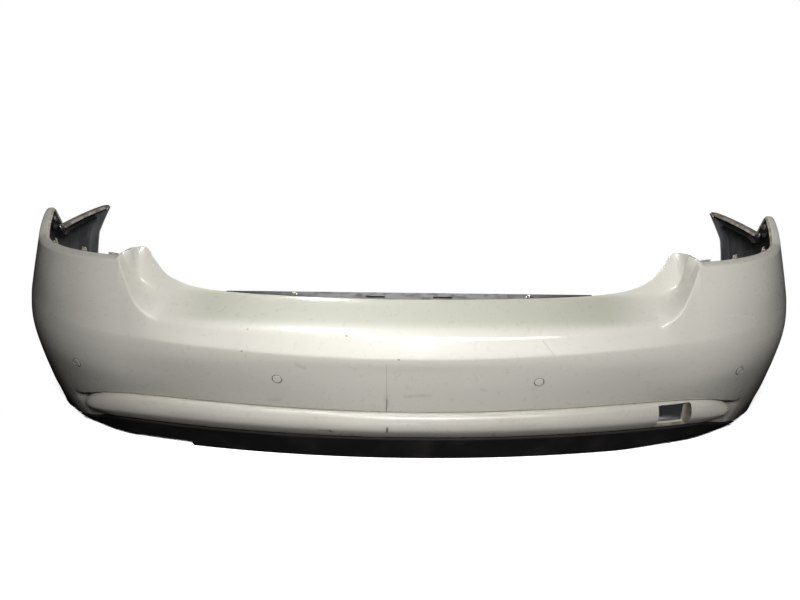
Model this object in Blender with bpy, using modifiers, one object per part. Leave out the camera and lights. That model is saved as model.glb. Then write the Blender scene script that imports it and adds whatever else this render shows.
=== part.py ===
"""Rear bumper cover of a mid-size saloon, taken off the car.

A thin painted skin wraps round the tail of the car and carries everything else: the lower trim
strip, the black valance, the guides that hang it on the body, four parking sensors and the
fasteners. The rear face looks along -Y, the wings run forward along +Y, +Z is up and +X is the
right side. The origin is on the floor, in the middle of the cover's box. All lengths are metres.
"""
import math

import bmesh
import bpy
import numpy as np
from mathutils import Matrix, Vector

# ---------------------------------------------------------------- driving dimensions
CENTRE_RADIUS = 2.90                    # plan curve of the rear face, three tangent arcs
CENTRE_SWEEP = math.radians(11.7)
CORNER_RADIUS = 0.378
CORNER_SWEEP = math.radians(84.6)
SIDE_RADIUS = 1.00
HALF_GIRTH = 1.300                      # from the middle to the wheel-arch edge, along the plan curve
PLAN_MIDDLE = 0.3078                    # the rearmost point lies this far behind the origin

WALL = 0.003                            # thickness of the moulded skin and valance
FIT = 0.0004                            # gap between pieces that touch

CREASE_HEIGHT = 0.256                   # hard crease of the rear face, in the middle
CREASE_RISE = 0.083                     # how much higher it is at the wheel arch
CREASE_POWER = 1.75

STRIP_END = 0.742                       # half length of the trim strip along the plan curve
STRIP_BACK = 0.0326                     # how far in from the plan curve the strip's back lies
VALANCE_END = 0.800
HEM_FLANGE = 0.020                      # width of the flange along the skin's lower edge

ARCH_START = 1.12                       # from here forward the stations fan out to the wheel arch
ARCH_RADIUS = 0.40
ARCH_HEIGHT = 0.19                      # height of the wheel arch's centre
ARCH_TOP = 0.40
ARCH_FLANGE = 0.027

SENSOR_FACE = 0.0180                    # diameters of the parking sensor, its ring and the hole
SENSOR_RING = 0.0202
SENSOR_HOLE = 0.0212
SENSOR_BARREL = 0.0160
SENSOR_DEPTH = 0.026
TURN_STEPS = 20                         # sides of the small turned pieces
SENSORS = {                             # girth position and height of each sensor
    "outer_left": (-0.700, 0.194),
    "inner_left": (-0.260, 0.201),
    "inner_right": (0.260, 0.201),
    "outer_right": (0.700, 0.194),
}

RIVETS = {"outer_left": -0.490, "inner_left": -0.180, "inner_right": 0.180, "outer_right": 0.490}
RIVET_HOLE = 0.0078
RIVET_SHANK = 0.0070
RIVET_HEAD = 0.0150
RIVET_BORE = 0.0044
PIN_SHANK = 0.0036
PIN_HEAD = 0.0080

TOW_GIRTH = 0.566                       # middle of the tow-eye opening, right side only
TOW_WIDTH = 0.076
TOW_LOW, TOW_HIGH = 0.0685, 0.1245
TOW_HOLE_WIDTH, TOW_HOLE_LOW, TOW_HOLE_HIGH = 0.070, 0.0725, 0.1215

GUIDE_HALF = 0.385                      # centre guide: straight rail below the top edge
GUIDE_BACK, GUIDE_FRONT = 0.100, 0.165  # from the rearmost point of the cover
GUIDE_TOP = 0.3315
GUIDE_WEB = 0.030
GUIDE_WALL = 0.003
GUIDE_SCREWS = {"left": -0.24, "right": 0.25}
GUIDE_TONGUES = (-0.33, -0.12, 0.12, 0.33)
TONGUE_HALF = 0.011

SIDE_WALL = 0.0035                      # side guides: wall, and where their bolts sit (girth, height)
SIDE_BOLTS = {"upper": (1.022, 0.432), "lower": (1.0515, 0.4045)}
SIDE_STATIONS = (1.000, 1.010, 1.020, 1.030, 1.040, 1.050, 1.060, 1.075, 1.090, 1.110, 1.130,
                 1.165, 1.210, 1.245)

# Each row of the skin runs from the middle of the car (station 0) to the wheel arch.
# A station gives: girth along the plan curve, inset from it and height. Where the row slides
# sideways at the horn beside the lamp, a fourth value gives that slide.
HEM = [(0.00, 0.033, 0.0625), (0.60, 0.033, 0.0635), (0.66, 0.033, 0.0580), (0.70, 0.033, 0.0480),
       (0.746, 0.033, 0.0340), (0.80, 0.029, 0.0220), (0.85, 0.029, 0.0100), (0.93, 0.0175, 0.0),
       (1.00, 0.014, 0.0), (1.300, 0.020, 0.0)]
RECESS = [(0.00, 0.033, 0.1255), (0.50, 0.033, 0.1295), (0.60, 0.033, 0.1275), (0.66, 0.033, 0.1205),
          (0.70, 0.033, 0.1095), (0.746, 0.033, 0.0930), (0.765, 0.016, 0.0820),
          (0.80, 0.011, 0.0740), (0.93, 0.004, 0.0800), (1.300, 0.006, 0.0800)]
LEDGE = [(0.00, 0.0215, 0.1270), (0.50, 0.0215, 0.1310), (0.60, 0.0205, 0.1290),
         (0.66, 0.0180, 0.1225), (0.70, 0.0150, 0.1130), (0.746, 0.0110, 0.1020),
         (0.765, 0.0080, 0.1010), (0.80, 0.0040, 0.1050), (0.93, -0.0020, 0.1150),
         (1.300, 0.0020, 0.1200)]
LOWER = [(0.00, 0.0160, 0.158), (0.42, 0.0148, 0.160), (0.62, 0.0085, 0.160), (0.70, 0.0042, 0.156),
         (0.80, -0.0050, 0.155), (0.93, -0.0095, 0.165), (1.10, -0.0070, 0.170), (1.300, 0.0, 0.170)]
MIDDLE = [(0.00, 0.0100, 0.190), (0.42, 0.0080, 0.190), (0.62, -0.0010, 0.195), (0.80, -0.0120, 0.205),
          (0.93, -0.0150, 0.215), (1.10, -0.0110, 0.220), (1.300, -0.0020, 0.220)]
BELOW = [(0.00, 0.0045, 0.2270), (0.60, -0.0040, 0.2350), (0.80, -0.0120, 0.2450),
         (0.93, -0.0148, 0.2500), (1.10, -0.0110, 0.2620), (1.300, -0.0020, 0.2850)]
ABOVE = [(0.00, 0.0100, 0.2780), (0.42, 0.0105, 0.2860), (0.50, 0.0090, 0.2910), (0.525, 0.0085, 0.2980),
         (0.547, 0.0095, 0.3080), (0.560, 0.0115, 0.3170), (0.572, 0.0145, 0.3260),
         (0.580, 0.0165, 0.3320), (0.598, 0.0190, 0.3420), (0.70, 0.0160, 0.3500),
         (0.80, 0.0100, 0.3520), (0.93, 0.0090, 0.3520), (1.02, 0.0150, 0.3800),
         (1.09, 0.0120, 0.3680), (1.300, 0.0110, 0.3700)]
SHOULDER = [(0.00, 0.0200, 0.3000), (0.30, 0.0200, 0.3025), (0.42, 0.0210, 0.3080),
            (0.50, 0.0190, 0.3110), (0.525, 0.0150, 0.3200), (0.547, 0.0190, 0.3385),
            (0.560, 0.0260, 0.3575), (0.572, 0.0345, 0.3775), (0.580, 0.0407, 0.3920),
            (0.586, 0.0455, 0.4035), (0.592, 0.0500, 0.4140), (0.598, 0.0505, 0.4140),
            (0.62, 0.0500, 0.4130), (0.70, 0.0450, 0.4125), (0.80, 0.0360, 0.4120),
            (0.88, 0.0290, 0.4120), (0.92, 0.0280, 0.4140), (0.945, 0.0300, 0.4220),
            (0.98, 0.0350, 0.4400), (1.01, 0.0400, 0.4550), (1.02, 0.0415, 0.4575),
            (1.03, 0.0410, 0.4540), (1.05, 0.0370, 0.4300), (1.07, 0.0320, 0.4060),
            (1.09, 0.0290, 0.3990), (1.12, 0.0270, 0.3985), (1.300, 0.0220, 0.4040)]
SHELF = [(0.00, 0.0520, 0.3210), (0.30, 0.0520, 0.3230), (0.42, 0.0540, 0.3275),
         (0.50, 0.0560, 0.3290), (0.525, 0.0560, 0.3345), (0.547, 0.0560, 0.3455),
         (0.560, 0.0570, 0.3595), (0.572, 0.0590, 0.3755), (0.580, 0.0610, 0.3900),
         (0.586, 0.0630, 0.4035), (0.592, 0.0650, 0.4160), (0.598, 0.0650, 0.4225),
         (0.612, 0.0560, 0.4160), (0.70, 0.0510, 0.4150), (0.80, 0.0420, 0.4145),
         (0.92, 0.0330, 0.4165), (0.98, 0.0400, 0.4425), (1.02, 0.0455, 0.4595),
         (1.05, 0.0420, 0.4320), (1.09, 0.0350, 0.4005), (1.300, 0.0290, 0.4060)]
GROOVE = [(0.00, 0.0830, 0.3375), (0.30, 0.0830, 0.3400), (0.42, 0.0840, 0.3440),
          (0.50, 0.0850, 0.3445, 0.002), (0.525, 0.0850, 0.3460, 0.006), (0.547, 0.0845, 0.3520, 0.010),
          (0.560, 0.0830, 0.3600, 0.009), (0.572, 0.0820, 0.3740, 0.004),
          (0.580, 0.0810, 0.3890, -0.001), (0.586, 0.0810, 0.4060, -0.006),
          (0.592, 0.0800, 0.4210, -0.012), (0.598, 0.0790, 0.4300, -0.016),
          (0.612, 0.0630, 0.4175), (0.70, 0.0580, 0.4165), (0.80, 0.0490, 0.4160),
          (0.92, 0.0390, 0.4180), (0.98, 0.0455, 0.4440), (1.02, 0.0500, 0.4600),
          (1.05, 0.0480, 0.4330), (1.09, 0.0420, 0.4010), (1.300, 0.0370, 0.4065)]
LIP = [(0.00, 0.0910, 0.3465), (0.30, 0.0910, 0.3485), (0.38, 0.0915, 0.3500, 0.003),
       (0.42, 0.0925, 0.3520, 0.006), (0.46, 0.0940, 0.3580, 0.010), (0.50, 0.0970, 0.3740, 0.014),
       (0.525, 0.1010, 0.3920, 0.010), (0.547, 0.1035, 0.4110, 0.002),
       (0.560, 0.1045, 0.4230, -0.005), (0.572, 0.1045, 0.4285, -0.010),
       (0.580, 0.1030, 0.4298, -0.012), (0.586, 0.1010, 0.4302, -0.012),
       (0.592, 0.0970, 0.4300, -0.012), (0.598, 0.0910, 0.4295, -0.011),
       (0.612, 0.0710, 0.4190), (0.70, 0.0660, 0.4180), (0.80, 0.0565, 0.4170),
       (0.92, 0.0455, 0.4190), (0.98, 0.0515, 0.4450), (1.02, 0.0550, 0.4600),
       (1.05, 0.0540, 0.4340), (1.09, 0.0490, 0.4010), (1.300, 0.0450, 0.4065)]
EDGE_IN = 0.0035                        # the top edge turns in and down by these
EDGE_DROP = [(0.00, 0.0130), (0.42, 0.0130), (0.50, 0.0120), (0.560, 0.0100), (0.598, 0.0080),
             (0.612, 0.0050), (1.300, 0.0050)]

# Stations along the half girth: closer together where the shape turns quickly.
STATIONS = [0.0, 0.06, 0.12, 0.18, 0.24, 0.30, 0.36, 0.42, 0.46, 0.50, 0.525, 0.547, 0.560, 0.572,
            0.580, 0.586, 0.592, 0.598, 0.612, 0.64, 0.67, 0.70, 0.722, 0.734, 0.746, 0.756, 0.765, 0.80,
            0.83, 0.86, 0.89, 0.92, 0.945, 0.98, 1.01, 1.02, 1.03, 1.05, 1.07, 1.09, 1.12, 1.165,
            1.21, 1.255, 1.300]


# ---------------------------------------------------------------- plan curve and rows
def plan_point(girth, inset):
    """Point of the plan curve at a signed girth, moved in by the inset, and its outward angle."""
    side = -1.0 if girth < 0 else 1.0
    rest = abs(girth)
    x, y, turn = 0.0, -PLAN_MIDDLE, 0.0
    arcs = ((CENTRE_RADIUS, CENTRE_SWEEP), (CORNER_RADIUS, CORNER_SWEEP), (SIDE_RADIUS, math.pi))
    for radius, sweep in arcs:
        step = min(rest / radius, sweep)
        x += radius * (math.sin(turn + step) - math.sin(turn))
        y += radius * (math.cos(turn) - math.cos(turn + step))
        turn += step
        rest -= radius * step
        if rest <= 1e-9:
            break
    return side * (x - inset * math.sin(turn)), y + inset * math.cos(turn), side * turn


def smooth(table, at, column):
    """Shape-keeping cubic through one column of a station table."""
    xs = [row[0] for row in table]
    ys = [row[column] if len(row) > column else 0.0 for row in table]
    at = min(max(at, xs[0]), xs[-1])
    k = min(max(int(np.searchsorted(xs, at, side="right")) - 1, 0), len(xs) - 2)
    slopes = [(ys[i + 1] - ys[i]) / (xs[i + 1] - xs[i]) for i in range(len(xs) - 1)]

    def tangent(i):
        if i == 0 or i == len(xs) - 1:
            return 0.0
        before, after = slopes[i - 1], slopes[i]
        if before * after <= 0:
            return 0.0
        return 2 * before * after / (before + after)

    width = xs[k + 1] - xs[k]
    t = (at - xs[k]) / width
    h00 = (1 + 2 * t) * (1 - t) ** 2
    h10 = t * (1 - t) ** 2
    h01 = t * t * (3 - 2 * t)
    h11 = t * t * (t - 1)
    return h00 * ys[k] + h10 * width * tangent(k) + h01 * ys[k + 1] + h11 * width * tangent(k + 1)


def crease_height(station):
    return CREASE_HEIGHT + CREASE_RISE * (station / HALF_GIRTH) ** CREASE_POWER


def crease_inset(station):
    return smooth([(0.0, 0.0), (0.60, -0.001), (0.93, -0.005), (1.300, 0.0)], station, 1)


def arch_girth(station, height):
    """Fans the last stations out so that the front edge follows the round wheel arch."""
    if station <= ARCH_START:
        return station
    reach = math.sqrt(ARCH_RADIUS ** 2 - (height - ARCH_HEIGHT) ** 2)
    reach_top = math.sqrt(ARCH_RADIUS ** 2 - (ARCH_TOP - ARCH_HEIGHT) ** 2)
    share = (station - ARCH_START) / (HALF_GIRTH - ARCH_START)
    return station - share * (reach - reach_top)


def skin_rows(station):
    """(slide, inset, height) of every row of the skin at one station, from hem flange to top edge."""
    hem_inset, hem_height = smooth(HEM, station, 1), smooth(HEM, station, 2)
    crease = crease_height(station)
    rows = [(0.0, hem_inset + HEM_FLANGE, hem_height), (0.0, hem_inset, hem_height)]
    for table in (RECESS, LEDGE, LOWER, MIDDLE, BELOW):
        rows.append((0.0, smooth(table, station, 1), smooth(table, station, 2)))
    under = smooth([(0.0, 0.0010), (0.60, -0.003), (0.93, -0.0085), (1.300, 0.0)], station, 1)
    rows.append((0.0, under, crease - 0.014))
    rows.append((0.0, crease_inset(station), crease))
    for table in (ABOVE, SHOULDER, SHELF, GROOVE, LIP):
        rows.append((smooth(table, station, 3), smooth(table, station, 1), smooth(table, station, 2)))
    slide, inset, height = rows[-1]
    rows.append((slide, inset + EDGE_IN, height - smooth(EDGE_DROP, station, 1)))
    return rows


def skin_point(station, slide, inset, height):
    x, y, _ = plan_point(arch_girth(station, height) + slide, inset)
    return (x, y, height)


def skin_columns():
    """Columns of points of the right half, from the middle to the flange at the wheel arch."""
    columns = [[skin_point(s, *row) for row in skin_rows(s)] for s in STATIONS[:-1]]
    for depth in (0.0, 0.4, 1.0):
        columns.append(arch_flange_column(depth))
    return columns


def arch_flange_column(depth):
    """Column at the wheel arch: depth 0 is the outer corner, depth 1 the flange's inner edge.

    The hem flange and the seam flange are mitred back where they meet the arch flange.
    """
    column = []
    rows = skin_rows(HALF_GIRTH)
    shoulder = len(rows) - 5
    for k, (slide, inset, height) in enumerate(rows):
        mitre, inner = 0.0, inset + ARCH_FLANGE * depth
        if k == 0:
            mitre = 0.012 + 0.008 * depth
            inner = max(inset + 0.004 * depth, rows[1][1] + ARCH_FLANGE * depth + 0.003)
        elif k > shoulder:
            place = k - shoulder
            mitre = place * (0.002 + 0.004 * depth)
            inner = max(inset + 0.004 * depth, rows[shoulder][1] + ARCH_FLANGE * depth + 0.001 * place)
        column.append(skin_point(HALF_GIRTH, slide - mitre, inner, height))
    return column


def face_inset(girth, height):
    """Inset of the skin's outer face below the shoulder, at one girth and height."""
    rows = skin_rows(abs(girth))[2:11]
    return float(np.interp(height, [r[2] for r in rows], [r[1] for r in rows]))


def face_frame(girth, height, inset):
    """Matrix at a point of the skin with +Z out of the face, +Y up the face, +X to the right."""
    x, y, turn = plan_point(girth, inset)
    lean = (face_inset(girth, height + 0.01) - face_inset(girth, height - 0.01)) / 0.02
    out = Vector((math.sin(turn), -math.cos(turn), lean)).normalized()
    across = Vector((0, 0, 1)).cross(out).normalized()
    up = out.cross(across)
    frame = Matrix((across, up, out)).transposed().to_4x4()
    frame.translation = Vector((x, y, height))
    return frame


# ---------------------------------------------------------------- Blender helpers
def clear_scene():
    for obj in list(bpy.data.objects):
        bpy.data.objects.remove(obj, do_unlink=True)


def make_collection(name):
    collection = bpy.data.collections.new(name)
    bpy.context.scene.collection.children.link(collection)
    return collection


def material(name, colour, roughness, metallic=0.0):
    mat = bpy.data.materials.get(name)
    if mat is None:
        mat = bpy.data.materials.new(name)
        mat.use_nodes = True
        shader = mat.node_tree.nodes["Principled BSDF"]
        shader.inputs["Base Color"].default_value = (*colour, 1.0)
        shader.inputs["Roughness"].default_value = roughness
        shader.inputs["Metallic"].default_value = metallic
    return mat


def white_paint():
    return material("white_paint", (0.78, 0.76, 0.73), 0.22)


def black_plastic():
    return material("black_plastic", (0.030, 0.030, 0.033), 0.55)


def grey_plastic():
    return material("grey_plastic", (0.075, 0.078, 0.085), 0.5)


def black_rubber():
    return material("black_rubber", (0.020, 0.020, 0.022), 0.75)


def zinc_steel():
    return material("zinc_steel", (0.62, 0.60, 0.56), 0.35, 1.0)


def add_object(name, mesh, mat, collection):
    obj = bpy.data.objects.new(name, mesh)
    mesh.materials.clear()
    mesh.materials.append(mat)
    collection.objects.link(obj)
    return obj


def mesh_from(name, points, faces):
    mesh = bpy.data.meshes.new(name)
    mesh.from_pydata(points, [], faces)
    mesh.update()
    return mesh


def mesh_from_bmesh(name, bm):
    mesh = bpy.data.meshes.new(name)
    bm.to_mesh(mesh)
    bm.free()
    return mesh


def smooth_shading(obj, degrees=30):
    obj.data.shade_smooth()
    obj.data.set_sharp_from_angle(angle=math.radians(degrees))


def grid_mesh(name, columns):
    """Open surface through columns of equal length, its faces looking out of the car."""
    rows = len(columns[0])
    points = [point for column in columns for point in column]
    faces = []
    for j in range(len(columns) - 1):
        for i in range(rows - 1):
            a = j * rows + i
            faces.append((a, a + rows, a + rows + 1, a + 1))
    return mesh_from(name, points, faces)


def tube_mesh(name, columns, cap_start):
    """Closed section carried along the girth, capped at its end and, if wanted, at its start."""
    rows = len(columns[0])
    points = [point for column in columns for point in column]
    faces = []
    for j in range(len(columns) - 1):
        for i in range(rows):
            a, b = j * rows + i, j * rows + (i + 1) % rows
            faces.append((a, a + rows, b + rows, b))
    last = (len(columns) - 1) * rows
    faces.append(tuple(reversed([last + i for i in range(rows)])))
    if cap_start:
        faces.append(tuple(range(rows)))
    return mesh_from(name, points, faces)


def box_bmesh(bm, low, high, matrix=None):
    """Adds an axis-aligned box between two corners, moved by the matrix."""
    low, high = Vector(low), Vector(high)
    scale = Matrix.Diagonal((*(high - low), 1.0))
    place = Matrix.Translation((low + high) / 2) @ scale
    if matrix is not None:
        place = matrix @ place
    bmesh.ops.create_cube(bm, size=1.0, matrix=place)


def turned_object(name, profile, steps, mat, collection):
    """Turned shape: (radius, height) points from top to bottom, on the outer side, by Screw."""
    closed = profile[0] == profile[-1]
    points = [(radius, 0.0, height) for radius, height in (profile[:-1] if closed else profile)]
    edges = [(i, i + 1) for i in range(len(points) - 1)]
    if closed:
        edges.append((len(points) - 1, 0))
    mesh = bpy.data.meshes.new(name)
    mesh.from_pydata(points, edges, [])
    obj = add_object(name, mesh, mat, collection)
    screw = obj.modifiers.new("Turn", "SCREW")
    screw.axis = "Z"
    screw.steps = steps
    screw.render_steps = steps
    screw.use_merge_vertices = True
    screw.merge_threshold = 0.00005
    screw.use_smooth_shade = True
    return obj


def cylinder_cutter(name, radius, length, matrix, collection, segments=24):
    bm = bmesh.new()
    bmesh.ops.create_cone(bm, cap_ends=True, segments=segments, radius1=radius, radius2=radius,
                          depth=length)
    return cutter(name, bm, matrix, collection)


def cutter(name, bm, matrix, collection):
    obj = bpy.data.objects.new(name, mesh_from_bmesh(name, bm))
    obj.matrix_world = matrix
    obj.hide_render = True
    obj.display_type = "WIRE"
    collection.objects.link(obj)
    return obj


def boolean(obj, tool, operation="DIFFERENCE"):
    modifier = obj.modifiers.new(operation.title(), "BOOLEAN")
    modifier.operation = operation
    modifier.solver = "EXACT"
    modifier.object = tool


def mirror(obj):
    modifier = obj.modifiers.new("Other half", "MIRROR")
    modifier.use_axis = (True, False, False)
    modifier.merge_threshold = 0.0001


def thicken(obj, thickness):
    modifier = obj.modifiers.new("Wall", "SOLIDIFY")
    modifier.thickness = thickness
    modifier.offset = -1.0


# ---------------------------------------------------------------- sub-parts
def hem_at(girth):
    return smooth(HEM, abs(girth), 1), smooth(HEM, abs(girth), 2)


def rivet_frame(girth):
    """Point in the middle of the hem flange, on the joint face between skin and valance."""
    inset, height = hem_at(girth)
    x, y, _ = plan_point(girth, inset + 0.6 * HEM_FLANGE)
    return Matrix.Translation((x, y, height))


def build_skin(parts, cutters):
    skin = add_object("bumper_skin", grid_mesh("bumper_skin", skin_columns()), white_paint(), parts)
    mirror(skin)
    thicken(skin, WALL)
    for label, (girth, height) in SENSORS.items():
        frame = face_frame(girth, height, face_inset(girth, height))
        boolean(skin, cylinder_cutter(f"sensor_hole_{label}", SENSOR_HOLE / 2, 0.02, frame, cutters))
    for label, girth in RIVETS.items():
        tool = cylinder_cutter(f"hem_hole_{label}", RIVET_HOLE / 2, 0.012, rivet_frame(girth), cutters, 16)
        boolean(skin, tool)
    boolean(skin, tow_hole_cutter(cutters))
    smooth_shading(skin, 24)
    return skin


def tow_frame():
    x, y, turn = plan_point(TOW_GIRTH, 0.0)
    return Matrix.Translation((x, y, 0.0)) @ Matrix.Rotation(turn, 4, "Z")


def tow_hole_cutter(cutters):
    """Opening behind the pocket: the screw-in towing eye passes through it."""
    bm = bmesh.new()
    low = (-TOW_HOLE_WIDTH / 2, 0.020, TOW_HOLE_LOW)
    high = (TOW_HOLE_WIDTH / 2, 0.060, TOW_HOLE_HIGH)
    box_bmesh(bm, low, high)
    return cutter("tow_hole", bm, tow_frame(), cutters)


def strip_section(girth):
    """Section of the trim strip: a rounded bar that tapers to a rounded end."""
    top = smooth(RECESS, girth, 2) - 0.0012
    low = smooth([(0.0, 0.0645), (0.60, 0.0655), (0.66, 0.0615), (0.70, 0.0600), (0.742, 0.0620)], girth, 1)
    run = max(0.0, 1.0 - ((girth - 0.69) / (STRIP_END - 0.69)) ** 2) if girth > 0.69 else 1.0
    tall = 0.15 + 0.85 * math.sqrt(run)
    deep = 0.25 + 0.75 * math.sqrt(run)
    middle = 0.48 * low + 0.52 * top
    shape = [(0.0, 1.0), (0.46, 1.0), (0.78, 0.90), (1.0, 0.66), (1.0, 0.46), (0.88, 0.34),
             (0.52, 0.12), (0.28, 0.0), (0.0, 0.0)]
    section = []
    for forward, up in shape:
        height = middle + (low + up * (top - low) - middle) * tall
        section.append((STRIP_BACK - 0.0246 * forward * deep, height))
    return section


def build_strip(parts, cutters):
    girths = [s for s in STATIONS if s <= 0.734] + [0.739, STRIP_END]
    columns = []
    for girth in girths:
        column = []
        for inset, height in reversed(strip_section(girth)):
            x, y, _ = plan_point(girth, inset)
            column.append((x, y, height))
        columns.append(column)
    strip = add_object("lower_trim_strip", tube_mesh("lower_trim_strip", columns, False),
                       white_paint(), parts)
    mirror(strip)
    bm = bmesh.new()
    box_bmesh(bm, (-TOW_WIDTH / 2, -0.02, TOW_LOW), (TOW_WIDTH / 2, STRIP_BACK - 0.0035, TOW_HIGH))
    boolean(strip, cutter("tow_pocket", bm, tow_frame(), cutters))
    boolean(strip, bpy.data.objects["tow_hole"])
    smooth_shading(strip, 30)
    return strip


def valance_low(girth):
    """Height of the valance's lower edge: flat in the middle, a little higher beside it."""
    return smooth([(0.0, 0.0), (0.45, 0.0), (0.62, 0.011), (0.70, 0.011), (0.80, 0.006)], girth, 1)


def build_valance(parts, cutters):
    girths = [s for s in STATIONS if s <= VALANCE_END]
    columns = []
    for girth in girths:
        hem_inset, hem_height = hem_at(girth)
        top = hem_height - FIT - 0.0004
        low = valance_low(girth)
        tall = top - low
        rows = [(hem_inset + 0.062, low), (hem_inset + 0.013, low), (hem_inset + 0.010, low + 0.06 * tall),
                (hem_inset + 0.007, low + 0.30 * tall), (hem_inset + 0.001, low + 0.72 * tall),
                (hem_inset - 0.002, low + 0.90 * tall), (hem_inset - 0.001, top),
                (hem_inset + HEM_FLANGE, top)]
        column = []
        for inset, height in rows:
            x, y, _ = plan_point(girth, inset)
            column.append((x, y, height))
        columns.append(column)
    valance = add_object("lower_valance", grid_mesh("lower_valance", columns), black_plastic(), parts)
    mirror(valance)
    thicken(valance, WALL)
    boolean(valance, exhaust_cutter(cutters))
    for label, girth in RIVETS.items():
        tool = cylinder_cutter(f"lip_hole_{label}", RIVET_HOLE / 2, 0.012, rivet_frame(girth), cutters, 16)
        boolean(valance, tool)
    smooth_shading(valance, 30)
    return valance


def exhaust_cutter(cutters):
    """Shallow cut-out over the tailpipe, left side only."""
    x, y, turn = plan_point(-0.545, 0.0)
    frame = Matrix.Translation((x, y, 0.0)) @ Matrix.Rotation(turn, 4, "Z")
    bm = bmesh.new()
    box_bmesh(bm, (-0.070, 0.0, -0.02), (0.070, 0.115, 0.0165))
    upright = [edge for edge in bm.edges if abs(edge.verts[0].co.x - edge.verts[1].co.x) < 1e-6]
    upper = [edge for edge in upright if edge.verts[0].co.z > 0 and edge.verts[1].co.z > 0]
    bmesh.ops.bevel(bm, geom=upper, offset=0.014, segments=3, affect="EDGES", profile=0.5)
    return cutter("exhaust_cut", bm, frame, cutters)


def guide_block(bm, low, high):
    """Box in the centre guide, its lengthwise places measured from the cover's rearmost point."""
    (x0, y0, z0), (x1, y1, z1) = low, high
    box_bmesh(bm, (x0, y0 - PLAN_MIDDLE, z0), (x1, y1 - PLAN_MIDDLE, z1))


def build_centre_guide(parts, cutters):
    """Straight angle rail below the top edge, ribbed, with tongues that reach under that edge."""
    under = GUIDE_TOP - GUIDE_WALL
    bm = bmesh.new()
    guide_block(bm, (-GUIDE_HALF, GUIDE_BACK, under), (GUIDE_HALF, GUIDE_FRONT, GUIDE_TOP))
    guide = add_object("centre_guide", mesh_from_bmesh("centre_guide", bm), black_plastic(), parts)

    web = bmesh.new()
    guide_block(web, (-GUIDE_HALF, GUIDE_FRONT - GUIDE_WALL, GUIDE_TOP - GUIDE_WEB),
                (GUIDE_HALF, GUIDE_FRONT, GUIDE_TOP))
    boolean(guide, cutter("guide_web", web, Matrix.Identity(4), cutters), "UNION")

    ribs = bmesh.new()
    for k in range(9):
        x = -0.36 + 0.09 * k
        guide_block(ribs, (x - 0.0012, GUIDE_BACK + 0.020, GUIDE_TOP - 0.018),
                    (x + 0.0012, GUIDE_FRONT - 0.001, GUIDE_TOP - 0.001))
    boolean(guide, cutter("guide_ribs", ribs, Matrix.Identity(4), cutters), "UNION")

    tongues = bmesh.new()
    for x in GUIDE_TONGUES:
        box_bmesh(tongues, *tongue_corners(x))
    boolean(guide, cutter("guide_tongues", tongues, Matrix.Identity(4), cutters), "UNION")

    slots = bmesh.new()
    for x in (-0.29, -0.07, 0.07, 0.29):
        guide_block(slots, (x - 0.02, GUIDE_BACK + 0.034, under - 0.003),
                    (x + 0.02, GUIDE_BACK + 0.044, GUIDE_TOP + 0.003))
    boolean(guide, cutter("guide_slots", slots, Matrix.Identity(4), cutters))
    for label, x in GUIDE_SCREWS.items():
        frame = Matrix.Translation((x, guide_screw_y(), GUIDE_TOP))
        boolean(guide, cylinder_cutter(f"guide_hole_{label}", 0.0030, 0.012, frame, cutters, 16))
    return guide


def tongue_corners(x):
    """Corners of a tongue that carries the skin's turned-down top edge."""
    ends = [skin_rows(abs(x) + step)[-1] for step in (-TONGUE_HALF, TONGUE_HALF)]
    top = min(end[2] for end in ends) - FIT - 0.0010
    _, y, _ = plan_point(x, ends[0][1])
    front = max(y + 0.006, GUIDE_BACK - PLAN_MIDDLE + 0.005)
    return (x - TONGUE_HALF, y - 0.009, GUIDE_TOP - GUIDE_WALL), (x + TONGUE_HALF, front, top)


def guide_screw_y():
    return (GUIDE_BACK + GUIDE_FRONT) / 2 + 0.014 - PLAN_MIDDLE


def build_guide_screws(parts):
    """Two flanged screws with light heads, which hold the centre guide to the body panel."""
    profile = [(0.0, 0.0045), (0.0035, 0.0045), (0.0045, 0.0030), (0.0045, 0.0016), (0.0070, 0.0012),
               (0.0070, FIT), (0.0024, FIT), (0.0024, -0.012), (0.0010, -0.014), (0.0, -0.014)]
    for label, x in GUIDE_SCREWS.items():
        screw = turned_object(f"guide_screw_{label}", profile, 14, zinc_steel(), parts)
        screw.location = (x, guide_screw_y(), GUIDE_TOP)


def side_guide_inset(girth):
    """The bracket follows the flange of the peak, the rail lies further out."""
    return float(np.interp(girth, (1.000, 1.070, 1.120, 1.245), (0.050, 0.050, 0.040, 0.037)))


def side_guide_top(girth):
    """The bracket keeps clear of the sloping peak, the rail runs close under the seam flange."""
    gap = float(np.interp(girth, (1.090, 1.130), (0.0130, WALL + 0.0008)))
    return smooth(LIP, girth, 2) - gap


def side_guide_foot(girth):
    feet = ((1.000, 0.412), (1.020, 0.415), (1.050, 0.385), (1.075, 0.378), (1.245, 0.384))
    return float(np.interp(girth, [f[0] for f in feet], [f[1] for f in feet]))


def side_guide_columns(side):
    """Strip inside the wing: a bracket under the peak, then a rail under the seam flange."""
    columns = []
    for girth in SIDE_STATIONS:
        inset, foot = side_guide_inset(girth), side_guide_foot(girth)
        column = []
        for height, extra in ((foot, 0.008), (foot + 0.002, 0.001), (foot + 0.005, 0.0),
                              (side_guide_top(girth), 0.0)):
            x, y, _ = plan_point(girth, inset + extra)
            column.append((side * x, y, height))
        columns.append(column)
    return columns if side > 0 else columns[::-1]


def build_side_guide(label, side, parts, cutters):
    name = f"side_guide_{label}"
    guide = add_object(name, grid_mesh(name, side_guide_columns(side)), grey_plastic(), parts)
    thicken(guide, SIDE_WALL)
    for place, (girth, height) in SIDE_BOLTS.items():
        frame = side_bolt_frame(side, girth, height)
        boolean(guide, cylinder_cutter(f"{name}_hole_{place}", 0.0034, 0.02, frame, cutters, 16))
    smooth_shading(guide, 30)
    return guide


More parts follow.
